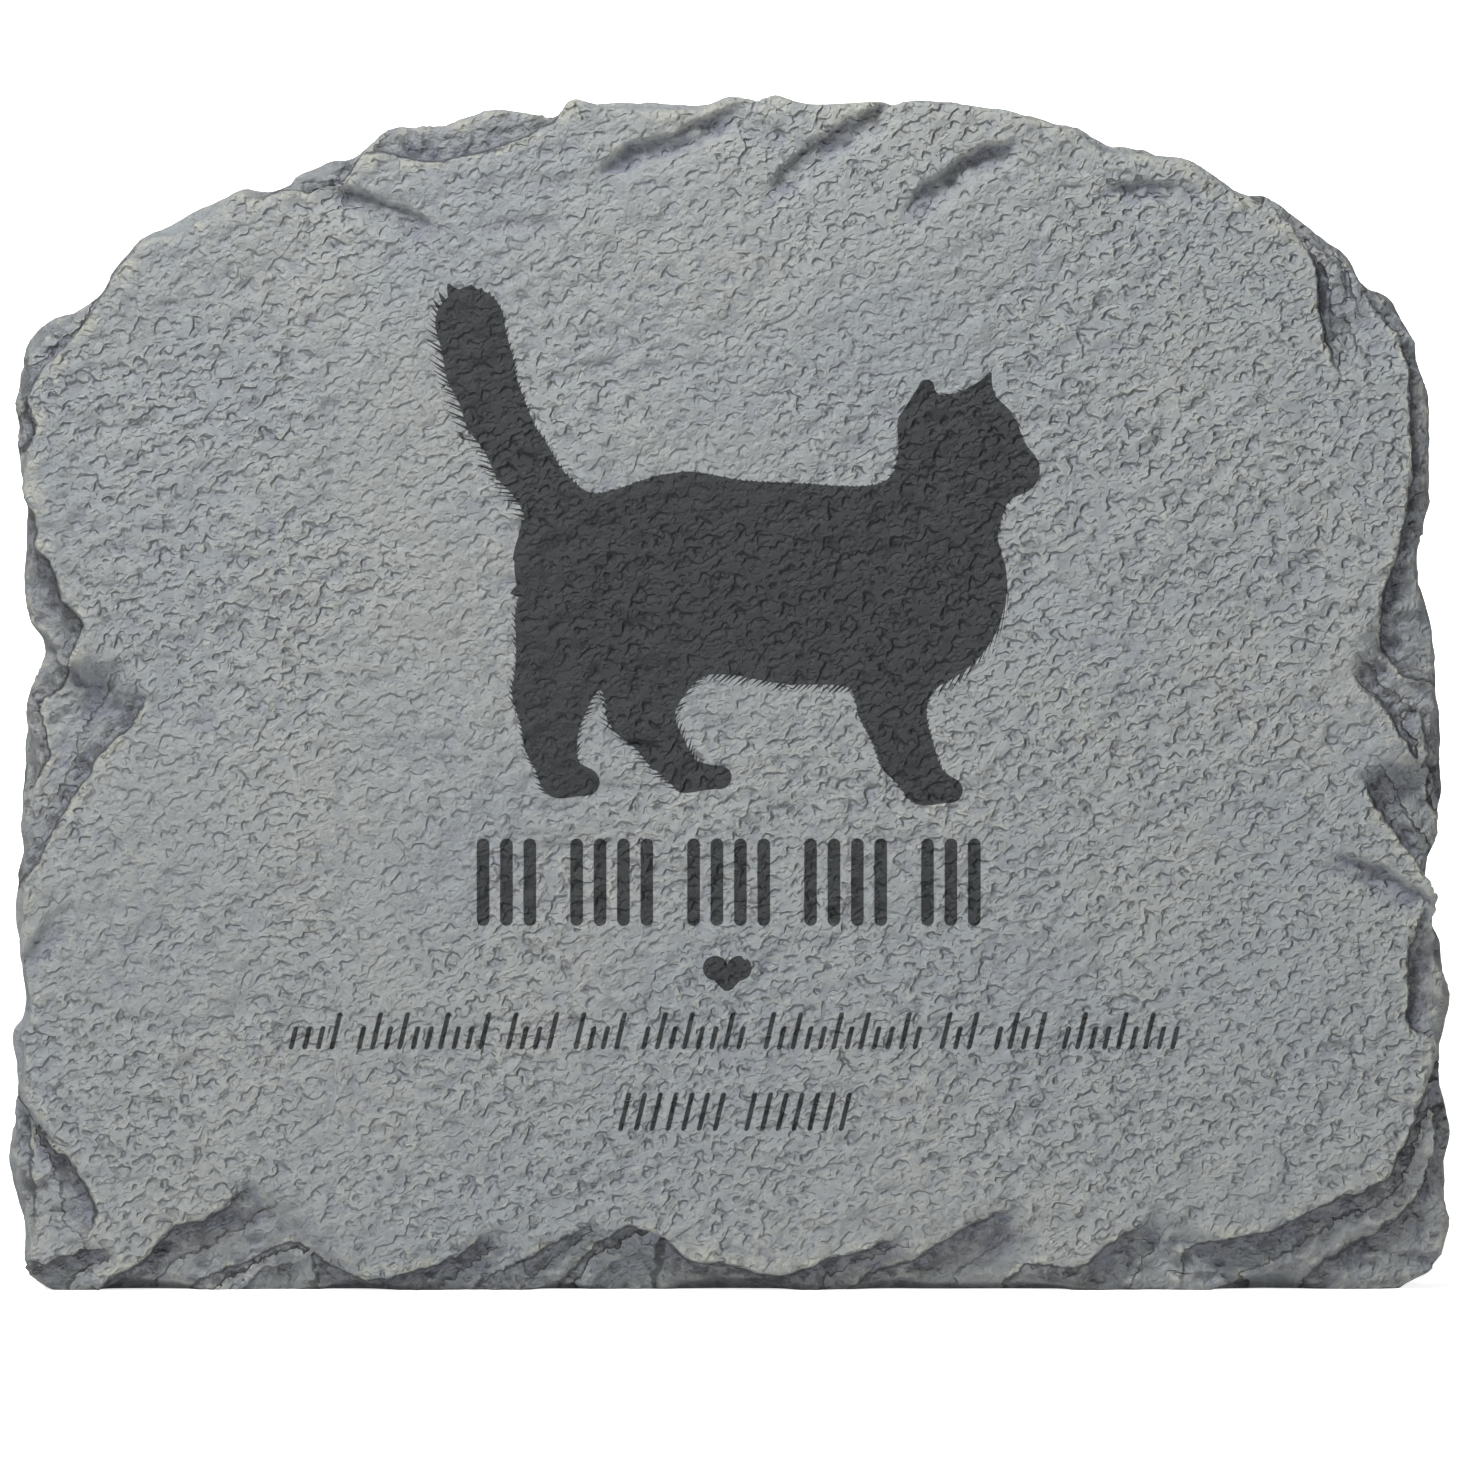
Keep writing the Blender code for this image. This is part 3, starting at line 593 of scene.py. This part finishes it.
def stroke_distance(places):
    """The distance from the strokes in the rows, negative inside."""
    distance = np.full(len(places), PRINT_FAR)
    for low, high, thickness, spacing, lean, short_share, left, groups in STROKE_ROWS:
        low, high, left = low * HEIGHT / 100, high * HEIGHT / 100, left * WIDTH / 100
        across = places[:, 0] - lean * (places[:, 1] - low) - left
        count = np.floor(across / spacing)
        there = np.zeros(len(places), bool)
        for first, end in stroke_ends(groups):
            there |= (count >= first) & (count < end)
        short = (count * SHORT_STEP) % 1 < short_share
        top = high - thickness / 2 - np.where(short, SHORT_CUT * (high - low), 0)
        beyond = np.maximum(np.maximum(low + thickness / 2 - places[:, 1], places[:, 1] - top), 0)
        gap = np.hypot(across - (count + 0.5) * spacing, beyond) - thickness / 2
        distance = np.where(there, np.minimum(distance, gap), distance)
    return distance


def picture_distance(places):
    """The distance from the cat and the heart, negative inside, with the length of the cat's
    fur and the place along it."""
    cat_at, fur, travelled = limb_distance(places)
    heart_at = heart_distance(places)
    distance = np.minimum(cat_at, heart_at)
    fur[heart_at < cat_at] = 0
    return np.clip(distance, -PRINT_FAR, PRINT_FAR), fur, travelled


def split_along_print(mesh):
    """Splits the long edges near the print's outline, so that it stays sharp."""
    shape = bmesh.new()
    shape.from_mesh(mesh)
    for _ in range(2):
        places = np.array([vertex.co for vertex in shape.verts])[:, [0, 2]]
        facing = np.array([vertex.normal.y for vertex in shape.verts]) < FACING
        drawn = facing & (np.abs(picture_distance(places)[0]) < 0.0008)
        written = facing & (np.abs(stroke_distance(places)) < 0.0005)
        shape.verts.index_update()
        long_edges = []
        for edge in shape.edges:
            ends = [vertex.index for vertex in edge.verts]
            longest = PRINT_CELL if drawn[ends].any() else STROKE_CELL
            if (drawn[ends] | written[ends]).any() and edge.calc_length() > longest:
                long_edges.append(edge)
        bmesh.ops.subdivide_edges(shape, edges=long_edges, cuts=1)
        triangulate(shape)
    shape.to_mesh(mesh)
    shape.free()


def cast_stone():
    rim = smooth_path(in_metres(LEFT_SIDE + DOME + RIGHT_SIDE + GROUND_EDGE), closed=True)
    mesh = plain_slab(rim)
    points, broken, ledge = carve(of_vertices(mesh, "co"), rim)
    mesh.vertices.foreach_set("co", points.ravel())
    mesh.update()
    keep(mesh, "broken", broken)
    for name, values in zip(("ledge", "ledge_place", "ledge_height"), ledge):
        keep(mesh, name, values)
    keep(mesh, "fine_rise", rise(mesh, FINE_ROUNDS))
    keep(mesh, "broad_rise", rise(mesh, BROAD_ROUNDS))

    stone = put("cast_stone", mesh)
    thin_out = stone.modifiers.new("Thin out", "DECIMATE")
    thin_out.ratio = TRIANGLES / (2 * len(mesh.polygons))
    stone.data = evaluated_mesh(stone)
    bpy.data.meshes.remove(mesh)
    stone.modifiers.remove(thin_out)
    mesh = stone.data
    mesh.name = "cast_stone"
    cut_flat(mesh)
    split_along_print(mesh)
    mesh.validate()

    points = of_vertices(mesh, "co")
    distance, fur, travelled = picture_distance(points[:, [0, 2]])
    facing = of_vertices(mesh, "normal")[:, 1] < FACING
    groove = smoothstep(0.0001, -0.0003, stroke_distance(points[:, [0, 2]])) * facing
    points[:, 1] += STROKE_DEPTH * groove
    points[:, 0] -= (points[:, 0].min() + points[:, 0].max()) / 2
    points = np.clip(points, node_low, node_high)
    mesh.vertices.foreach_set("co", points.ravel())
    mesh.update()
    keep(mesh, "print_distance", distance)
    keep(mesh, "fur_length", fur)
    keep(mesh, "fur_place", travelled)

    mesh.shade_smooth()
    mesh.set_sharp_from_angle(angle=SHARP_ANGLE)
    return stone


def add(tree, kind, inputs=None, **settings):
    """A node with these settings, and each input linked to a socket or set to a value."""
    made = tree.nodes.new(kind)
    for name, value in settings.items():
        setattr(made, name, value)
    for key, value in (inputs or {}).items():
        if isinstance(value, bpy.types.NodeSocket):
            tree.links.new(value, made.inputs[key])
        else:
            made.inputs[key].default_value = value
    return made


def calc(tree, operation, *values):
    return add(tree, "ShaderNodeMath", dict(enumerate(values)), operation=operation).outputs[0]


def plus(tree, first, second):
    return calc(tree, "ADD", first, second)


def minus(tree, first, second):
    return calc(tree, "SUBTRACT", first, second)


def larger(tree, first, second):
    return calc(tree, "MAXIMUM", first, second)


def times(tree, first, second):
    return calc(tree, "MULTIPLY", first, second)


def times_plus(tree, first, second, third):
    """The first times the second, plus the third."""
    return calc(tree, "MULTIPLY_ADD", first, second, third)


def ramp(tree, value, low, high, new_low=0.0, new_high=1.0):
    """The value mapped smoothly from low and high to the new ones."""
    inputs = {"Value": value, "From Min": low, "From Max": high, "To Min": new_low, "To Max": new_high}
    made = add(tree, "ShaderNodeMapRange", inputs, interpolation_type="SMOOTHSTEP")
    return made.outputs["Result"]


def blend(tree, share, first, second):
    """One colour turning into the other as share goes from 0 to 1."""
    made = add(tree, "ShaderNodeMix", {"Factor": share}, data_type="RGBA")
    for key, value in (("A", first), ("B", second)):
        socket = next(s for s in made.inputs if s.name == key and s.type == "RGBA")
        if isinstance(value, bpy.types.NodeSocket):
            tree.links.new(value, socket)
        else:
            socket.default_value = value
    return next(s for s in made.outputs if s.type == "RGBA")


def noise_at(tree, vector, size, detail=3.0, roughness=0.55):
    """Noise of about 0 to 1 with features of this size in metres."""
    inputs = {"Vector": vector, "Scale": 1 / size, "Detail": detail, "Roughness": roughness}
    return add(tree, "ShaderNodeTexNoise", inputs).outputs["Fac"]


def stored(tree, name):
    return add(tree, "ShaderNodeAttribute", attribute_name=name).outputs["Fac"]


def group(name, inputs, outputs):
    """An empty node group with these sockets, and its input and output nodes."""
    tree = bpy.data.node_groups.new(name, "ShaderNodeTree")
    for socket, value in inputs.items():
        if value is None:
            tree.interface.new_socket(socket, in_out="INPUT", socket_type="NodeSocketVector")
        else:
            made = tree.interface.new_socket(socket, in_out="INPUT", socket_type="NodeSocketFloat")
            made.default_value = value
    for socket, kind in outputs.items():
        tree.interface.new_socket(socket, in_out="OUTPUT", socket_type=kind)
    return tree, tree.nodes.new("NodeGroupInput").outputs, tree.nodes.new("NodeGroupOutput").inputs


def placed(tree, nodes, place, **values):
    """What a node group puts out at this place, with these values."""
    made = add(tree, "ShaderNodeGroup", node_tree=nodes)
    tree.links.new(place, made.inputs["Vector"])
    for name, value in values.items():
        made.inputs[name].default_value = value
    return made.outputs


def shifted(tree, vector, amount, direction):
    """The vector moved by this amount along the direction."""
    push = add(tree, "ShaderNodeVectorMath", {0: direction, "Scale": amount}, operation="SCALE")
    return add(tree, "ShaderNodeVectorMath", {0: vector, 1: push.outputs[0]}, operation="ADD").outputs[0]


def pushed_pits():
    """Pits in patches, a little longer across the slope than up it, whose sides towards the
    upper left are pushed over until they're steep. Both outputs are 0 to 1, Lip along the
    edges of the plates between the pits."""
    tree, given, result = group(
        "Pushed pits",
        {"Vector": None, "Size": 0.0018, "Push": 0.0015, "Floor": 0.27, "Plate": 0.565},
        {"Depth": "NodeSocketFloat", "Lip": "NodeSocketFloat"},
    )
    parts = add(tree, "ShaderNodeSeparateXYZ", {0: given["Vector"]}).outputs
    left, up = float(UPHILL[0]), float(UPHILL[1])
    aslant = times_plus(tree, parts["Z"], -left, times(tree, parts["X"], up))
    uphill = times_plus(tree, parts["Z"], up, times(tree, parts["X"], left))
    inputs = {"X": times(tree, aslant, 0.80), "Y": uphill, "Z": parts["Y"]}
    turned = add(tree, "ShaderNodeCombineXYZ", inputs).outputs[0]
    scale = calc(tree, "DIVIDE", 1.0, given["Size"])

    def level(vector, scale):
        inputs = {"Vector": vector, "Scale": scale, "Detail": 0.5}
        return add(tree, "ShaderNodeTexNoise", inputs).outputs["Fac"]

    push = times(tree, minus(tree, level(turned, scale), 0.5), given["Push"])
    edge = minus(tree, level(shifted(tree, turned, push, (0, 1, 0)), scale), given["Plate"])
    lip = times(tree, ramp(tree, edge, -0.06, -0.01), ramp(tree, edge, 0.10, 0.01))
    elsewhere = shifted(tree, turned, 1.0, (0.5, 0.7, 0.3))
    there = ramp(tree, level(elsewhere, times(tree, scale, 0.8)), 0.44, 0.56)
    depth = ramp(tree, edge, 0.0, minus(tree, given["Floor"], given["Plate"]))
    tree.links.new(times(tree, depth, there), result["Depth"])
    tree.links.new(times(tree, lip, there), result["Lip"])
    return tree


def stroke_row(row):
    """One row of strokes on the XZ plane, 1 inside them."""
    low, high, thickness, spacing, lean, short_share, left, groups = STROKE_ROWS[row]
    low, high = float(low * HEIGHT / 100), float(high * HEIGHT / 100)
    left = float(left * WIDTH / 100)
    tree, given, result = group(
        f"Stroke row {row + 1}", {"Vector": None}, {"Inside": "NodeSocketFloat"}
    )
    parts = add(tree, "ShaderNodeSeparateXYZ", {0: given["Vector"]}).outputs
    up = parts["Z"]
    across = times_plus(tree, minus(tree, up, low), -lean, parts["X"])
    across = minus(tree, across, left)
    count = calc(tree, "FLOOR", calc(tree, "DIVIDE", across, spacing))
    there = 0.0
    for first, end in stroke_ends(groups):
        after = calc(tree, "GREATER_THAN", count, first - 0.5)
        before = calc(tree, "LESS_THAN", count, end - 0.5)
        there = larger(tree, there, times(tree, after, before))
    turn = calc(tree, "FRACT", times(tree, count, SHORT_STEP))
    short = calc(tree, "LESS_THAN", turn, short_share)
    top = times_plus(tree, short, -SHORT_CUT * (high - low), high - thickness / 2)
    above, below = minus(tree, up, top), minus(tree, low + thickness / 2, up)
    beyond = larger(tree, larger(tree, above, below), 0.0)
    middle = times(tree, plus(tree, count, 0.5), spacing)
    aside = minus(tree, across, middle)
    squares = times(tree, aside, aside), times(tree, beyond, beyond)
    gap = calc(tree, "SQRT", plus(tree, *squares))
    drawn = ramp(tree, gap, thickness / 2 + INK_EDGE, thickness / 2 - INK_EDGE)
    tree.links.new(times(tree, drawn, there), result["Inside"])
    return tree


def fine_grain():
    """The cement's own grain and the sparse specks in it, 0 to 1."""
    tree, given, result = group(
        "Cement grain",
        {"Vector": None, "Size": 0.0008},
        {"Grain": "NodeSocketFloat", "Specks": "NodeSocketFloat"},
    )
    scale = calc(tree, "DIVIDE", 1.0, given["Size"])
    inputs = {"Vector": given["Vector"], "Scale": scale, "Detail": 4.0}
    soft = add(tree, "ShaderNodeTexNoise", inputs).outputs["Fac"]
    inputs = {"Vector": given["Vector"], "Scale": times(tree, scale, 0.45)}
    dots = add(tree, "ShaderNodeTexVoronoi", inputs).outputs
    chance = add(tree, "ShaderNodeSeparateColor", {0: dots["Color"]}).outputs[0]
    specks = times(tree, ramp(tree, dots["Distance"], 0.32, 0.12), ramp(tree, chance, 0.8, 0.95))
    tree.links.new(soft, result["Grain"])
    tree.links.new(specks, result["Specks"])
    return tree


COOL_GREY = (0.297, 0.320, 0.331, 1)
WARM_GREY = (0.330, 0.345, 0.338, 1)
LAVENDER = (0.232, 0.246, 0.287, 1)
CREAM = (0.420, 0.424, 0.378, 1)
SHADOW_GREY = (0.125, 0.130, 0.137, 1)
DEEP_SHADOW = (0.034, 0.036, 0.041, 1)
INK = (0.031, 0.034, 0.036, 1)
PALE_INK = (0.045, 0.047, 0.049, 1)
# Ink in the pits, darker as painted shade.
INK_IN_PIT_SHADE = (0.022, 0.027, 0.028, 1)
CEMENT = (0.300, 0.305, 0.298, 1)

# The finest relief, in metres.
LARGE_PITS = (0.0018, 0.0015, 0.00140)   # size, push and depth
FINE_PITS = (0.0010, 0.0008, 0.00042)
PIT_LIP = 0.00017        # height of the plates' edges
FACE_GRAIN = 0.0003
SCAR_GRAIN = 0.0020      # and that much more on the scars and sides
GRAIN_SIZE = 0.0030
CEMENT_GRAIN = 0.00008
CEMENT_SIZE = 0.0011
LEDGE_STEP = 0.0006      # the drop right under a ridge
LEDGE_LAYERS = 0.0011    # how unevenly the thin layers beyond it are broken
LEDGE_RAGGED = 0.0024    # how far the ridges stray once more
GROOVE = 0.00022
HAIRS = 880.0            # hairs in a metre of the cat's outline
HOLE_DEPTH = 0.0006      # of the air holes in the back
BACK_SWELL = 0.0005      # height of the back's soft lumps


def new_material(name):
    """A material with its nodes, its shader and the place on the object."""
    material = bpy.data.materials.new(name)
    material.use_nodes = True
    tree = material.node_tree
    place = add(tree, "ShaderNodeTexCoord").outputs["Object"]
    return material, tree, tree.nodes["Principled BSDF"], place


def connect(tree, shader, colour, height, roughness):
    """Leads these into the shader, the height in metres as bump."""
    bump = add(tree, "ShaderNodeBump", {"Height": height, "Distance": 1.0, "Strength": 1.0})
    for value, name in ((colour, "Base Color"), (roughness, "Roughness"), (bump.outputs[0], "Normal")):
        tree.links.new(value, shader.inputs[name])
    shader.inputs["Specular IOR Level"].default_value = 0.3


def liveliness(tree, place, on_face, broken):
    """How deep the pits are, 0 to 1: shallower in calm patches, most of them towards the upper
    left, and on the scars."""
    parts = add(tree, "ShaderNodeSeparateXYZ", {0: place}).outputs
    upper_left = ramp(tree, minus(tree, parts["Z"], parts["X"]), 0.10, 0.30, 0.0, 0.16)
    patches = noise_at(tree, place, 0.036, 1.0)
    calm = ramp(tree, plus(tree, patches, upper_left), 0.5, 0.68)
    on_plates = times(tree, on_face, times_plus(tree, calm, -0.45, 1.0))
    return times(tree, on_plates, times_plus(tree, broken, -0.35, 1.0))


def strokes(tree, place, rows, on_face):
    """1 inside the strokes of every row."""
    inside = 0.0
    for row in rows:
        inside = larger(tree, inside, placed(tree, row, place)["Inside"])
    return times(tree, inside, on_face)


def ledges(tree, place, facing):
    """How far each place lies beyond the nearest ridge, how tall that ledge is, 0 to 1, and
    the thin layers that run along it."""
    ragged = minus(tree, noise_at(tree, place, 0.0022, 4.0, 0.6), 0.5)
    past = times_plus(tree, ragged, LEDGE_RAGGED, stored(tree, "ledge"))
    tall = ramp(tree, stored(tree, "ledge_height"), 0.04, 0.3)
    tall = times(tree, tall, ramp(tree, facing["Y"], 0.0, -0.25))
    inputs = {
        "X": times(tree, past, 900.0),
        "Y": times(tree, stored(tree, "ledge_place"), 90.0),
        "Z": times(tree, facing["Y"], 0.6),
    }
    layer_place = add(tree, "ShaderNodeCombineXYZ", inputs).outputs[0]
    return past, tall, noise_at(tree, layer_place, 1.0, 4.0, 0.6)


def relief(tree, lively, large, small, rough, cement, beyond, layers, in_row):
    """The height of the finest relief, in metres."""
    height = times(tree, large["Depth"], -LARGE_PITS[2])
    height = times_plus(tree, small["Depth"], -FINE_PITS[2], height)
    height = times_plus(tree, large["Lip"], PIT_LIP, height)
    height = times(tree, height, lively)
    rougher = minus(tree, 1.0, lively)
    height = times_plus(tree, rough, times_plus(tree, rougher, SCAR_GRAIN, FACE_GRAIN), height)
    height = times_plus(tree, cement, CEMENT_GRAIN, height)
    height = times_plus(tree, beyond, -LEDGE_STEP, height)
    height = times_plus(tree, times(tree, layers, beyond), LEDGE_LAYERS, height)
    return times_plus(tree, in_row, -GROOVE, height)


def paint(tree, place, broken, pit_shade):
    """Blue-grey paint in two tones, with lavender in the hollows and scars, and lavender as painted
    shade in the pits.
    """
    mottle = ramp(tree, noise_at(tree, place, 0.045, 3.0), 0.35, 0.65)
    colour = blend(tree, mottle, COOL_GREY, WARM_GREY)
    deep = ramp(tree, stored(tree, "broad_rise"), -0.00005, -0.0006)
    dented = times(tree, ramp(tree, stored(tree, "fine_rise"), 0.0, -0.00012), 0.4)
    hollow = larger(tree, deep, dented)
    hollow = larger(tree, hollow, times(tree, broken, 0.4))
    patchy = ramp(tree, noise_at(tree, place, 0.012, 3.0), 0.3, 0.6)
    colour = blend(tree, times(tree, hollow, patchy), colour, LAVENDER)
    # Painted shade: lavender in the pits.
    return blend(tree, times(tree, pit_shade, 0.3), colour, LAVENDER)


def wear_and_painted_highlight(tree, colour, place, lip, past, tall):
    """Chalky cream on what stands out, along the ridges, and a painted highlight in cream along the
    plates' edges.
    """
    chalky = ramp(tree, noise_at(tree, place, 0.0035, 4.0), 0.42, 0.62)
    ridge = times(tree, ramp(tree, past, -0.0012, -0.0003), ramp(tree, past, 0.0003, 0.0))
    fine = ramp(tree, stored(tree, "fine_rise"), 0.00020, 0.00055)
    broad = ramp(tree, stored(tree, "broad_rise"), 0.0004, 0.0012)
    worn = larger(tree, fine, times(tree, ridge, tall))
    worn = larger(tree, worn, times(tree, broad, 0.7))
    colour = blend(tree, times(tree, worn, chalky), colour, CREAM)
    # Painted highlight: a thin cream line along the plates' edges.
    return blend(tree, times(tree, lip, 0.45), colour, CREAM)


def painted_shade_and_shadow(tree, colour, downward, past, layers, beyond, rough):
    """Painted shade in grey where the scars look down, and a painted shadow, a dark, patchy line under
    each ridge.
    """
    # Painted shade: grey on the scars that face down, away from the light.
    shade_where_down = times(tree, downward, ramp(tree, layers, 0.35, 0.65, 0.6, 0.15))
    colour = blend(tree, shade_where_down, colour, SHADOW_GREY)
    # Painted shadow: dark and patchy under each ridge, crisp right under it.
    patches = ramp(tree, rough, 0.56, 0.42, 0.0, 0.75)
    under = times(tree, ramp(tree, past, 0.0070, 0.0006), patches)
    under = larger(tree, under, ramp(tree, past, 0.0013, 0.0004))
    return blend(tree, times(tree, times(tree, under, beyond), 0.9), colour, DEEP_SHADOW)


def picture(tree):
    """1 inside the cat and the heart, with the hairs of the fur along the cat's outline."""
    distance = stored(tree, "print_distance")
    combed = plus(tree, distance, stored(tree, "fur_place"))
    inputs = {"W": combed, "Scale": HAIRS, "Randomness": 0.9}
    hairs = add(tree, "ShaderNodeTexVoronoi", inputs, voronoi_dimensions="1D").outputs
    chance = add(tree, "ShaderNodeSeparateColor", {0: hairs["Color"]}).outputs[0]
    spike = times_plus(tree, hairs["Distance"], -4.2, plus(tree, chance, 0.4))
    reach = times(tree, stored(tree, "fur_length"), larger(tree, spike, -0.3))
    return ramp(tree, minus(tree, distance, reach), 0.00006, -0.00006)


def slate_face(pits, grains, rows):
    """The painted, printed front and sides."""
    material, tree, shader, place = new_material("cast slate face")
    normal = add(tree, "ShaderNodeNewGeometry").outputs["Normal"]
    facing = add(tree, "ShaderNodeSeparateXYZ", {0: normal}).outputs
    on_face = ramp(tree, facing["Y"], -0.45, -0.85)
    broken = stored(tree, "broken")

    lively = liveliness(tree, place, on_face, broken)
    large = placed(tree, pits, place, Size=LARGE_PITS[0], Push=LARGE_PITS[1])
    small = placed(tree, pits, place, Size=FINE_PITS[0], Push=FINE_PITS[1])
    cement = placed(tree, grains, place, Size=CEMENT_SIZE)["Grain"]
    rough = noise_at(tree, place, GRAIN_SIZE, 5.0, 0.65)
    in_row = strokes(tree, place, rows, on_face)
    past, tall, layers = ledges(tree, place, facing)
    beyond = times(tree, tall, ramp(tree, past, -0.0001, 0.0005))
    height = relief(tree, lively, large, small, rough, cement, beyond, layers, in_row)

    # How deep the pits are, for the painted shade in them.
    pit_shade = times(tree, large["Depth"], lively)
    colour = paint(tree, place, broken, pit_shade)
    # Worn cream, and a painted highlight on the plates' edges.
    colour = wear_and_painted_highlight(tree, colour, place, times(tree, large["Lip"], lively), past, tall)
    # Where the scars face down, for the painted shade there and the painted shadow under the ridges.
    downward = times(tree, times(tree, ramp(tree, facing["Z"], 0.0, -0.45), broken), tall)
    colour = painted_shade_and_shadow(tree, colour, downward, past, layers, beyond, rough)
    colour = blend(tree, ramp(tree, cement, 0.3, 0.7, 0.0, 0.22), colour, SHADOW_GREY)

    inked = larger(tree, picture(tree), in_row)
    ink = blend(tree, ramp(tree, rough, 0.35, 0.7, 0.0, 0.35), INK, PALE_INK)
    # Painted shade: darker ink in the pits.
    ink = blend(tree, times(tree, pit_shade, 0.5), ink, INK_IN_PIT_SHADE)
    colour = blend(tree, times(tree, inked, 0.97), colour, ink)
    roughness = times_plus(tree, inked, -0.12, ramp(tree, rough, 0.3, 0.7, 0.80, 0.94))
    connect(tree, shader, colour, height, roughness)
    return material


def moulded_back(grains):
    """The plain back and underside: flat cement with small air holes."""
    material, tree, shader, place = new_material("moulded back")
    coarse = placed(tree, grains, place, Size=2 * CEMENT_SIZE)
    cloudy = ramp(tree, noise_at(tree, place, 0.05, 4.0), 0.3, 0.7)
    colour = blend(tree, cloudy, CEMENT, COOL_GREY)
    colour = blend(tree, ramp(tree, coarse["Grain"], 0.3, 0.7, 0.0, 0.2), colour, SHADOW_GREY)
    holes = coarse["Specks"]
    # Painted shade: the air holes darker than the cement around them.
    colour = blend(tree, times(tree, holes, 0.6), colour, SHADOW_GREY)
    height = times(tree, holes, -HOLE_DEPTH)
    height = times_plus(tree, noise_at(tree, place, 0.006, 6.0, 0.6), BACK_SWELL, height)
    connect(tree, shader, colour, height, ramp(tree, cloudy, 0.0, 1.0, 0.82, 0.92))
    return material


def dress(stone):
    pits, grains = pushed_pits(), fine_grain()
    rows = [stroke_row(row) for row in range(len(STROKE_ROWS))]
    mesh = stone.data
    mesh.materials.append(slate_face(pits, grains, rows))
    mesh.materials.append(moulded_back(grains))
    for face in mesh.polygons:
        flat_back = face.normal.y > 0.999 and face.center.y > node_high[1] - 0.0001
        underside = face.normal.z < -0.999 and face.center.z < node_low[2] + 0.0001
        face.material_index = int(flat_back or underside)


def matt_white(name, shade):
    material, tree, shader, place = new_material(name)
    soft = ramp(tree, noise_at(tree, place, 0.6, 2.0), 0.3, 0.7)
    pale, paler = (shade, shade, shade, 1), (shade + 0.02, shade + 0.02, shade + 0.02, 1)
    tree.links.new(blend(tree, soft, pale, paler), shader.inputs["Base Color"])
    shader.inputs["Roughness"].default_value = 0.9
    shader.inputs["Emission Color"].default_value = (1, 1, 1, 1)
    seen = add(tree, "ShaderNodeLightPath").outputs["Is Camera Ray"]
    tree.links.new(times_plus(tree, seen, 0.6, 0.18), shader.inputs["Emission Strength"])
    return material


def flat_sheet(name, corners, material):
    mesh = bpy.data.meshes.new(name)
    mesh.from_pydata(corners, [], [(0, 1, 2, 3)])
    mesh.materials.append(material)
    sheet = put(name, mesh)


def studio():
    """A pale floor and backdrop, a soft key light from the upper left, part of it from near by
    so that the stone's lower end is a little darker, and a light on the backdrop."""
    white = matt_white("studio white", 0.92)
    half, behind, tall = 12.0, 6.0, 8.0
    floor = [(-half, -half, 0), (half, -half, 0), (half, half, 0), (-half, half, 0)]
    backdrop = [(-half, behind, 0), (half, behind, 0), (half, behind, tall), (-half, behind, tall)]
    flat_sheet("floor", floor, white)
    flat_sheet("backdrop", backdrop, white)

    def lamp(name, kind, energy, place, direction):
        light = bpy.data.lights.new(name, kind)
        light.energy = energy
        drawn = put(name, light)
        drawn.location = place
        drawn.rotation_euler = Vector(direction).to_track_quat("-Z", "Y").to_euler()
        return light

    lamp("far key light", "SUN", 0.60, (0, 0, 2), (0.85, 0.70, -1.0)).angle = np.radians(14)
    lamp("near key light", "AREA", 8.4, (-0.20, -0.46, 0.90), (0.20, 0.46, -0.77)).size = 0.24
    lamp("backdrop light", "AREA", 160, (0, 2.5, 2.5), (0, 1, -0.35)).size = 3.0

    world = bpy.data.worlds.new("studio")
    bpy.context.scene.world = world
    world.use_nodes = True
    background = world.node_tree.nodes["Background"]
    background.inputs["Color"].default_value = (0.97, 0.985, 1.0, 1)
    background.inputs["Strength"].default_value = 0.10
    bpy.context.scene.view_settings.view_transform = "Standard"


def photographer():
    """A long lens straight in front of the face, far enough to hold the whole width."""
    lens = bpy.data.cameras.new("camera")
    lens.lens = 200
    lens.sensor_width = 36
    camera = put("camera", lens)
    camera.location = (0, -1.715, 0.1176)
    camera.rotation_euler = (np.pi / 2, 0, 0)
    bpy.context.scene.camera = camera


stone = cast_stone()
dress(stone)
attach(stone, "root")
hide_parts("memorial_stone")
studio()
photographer()
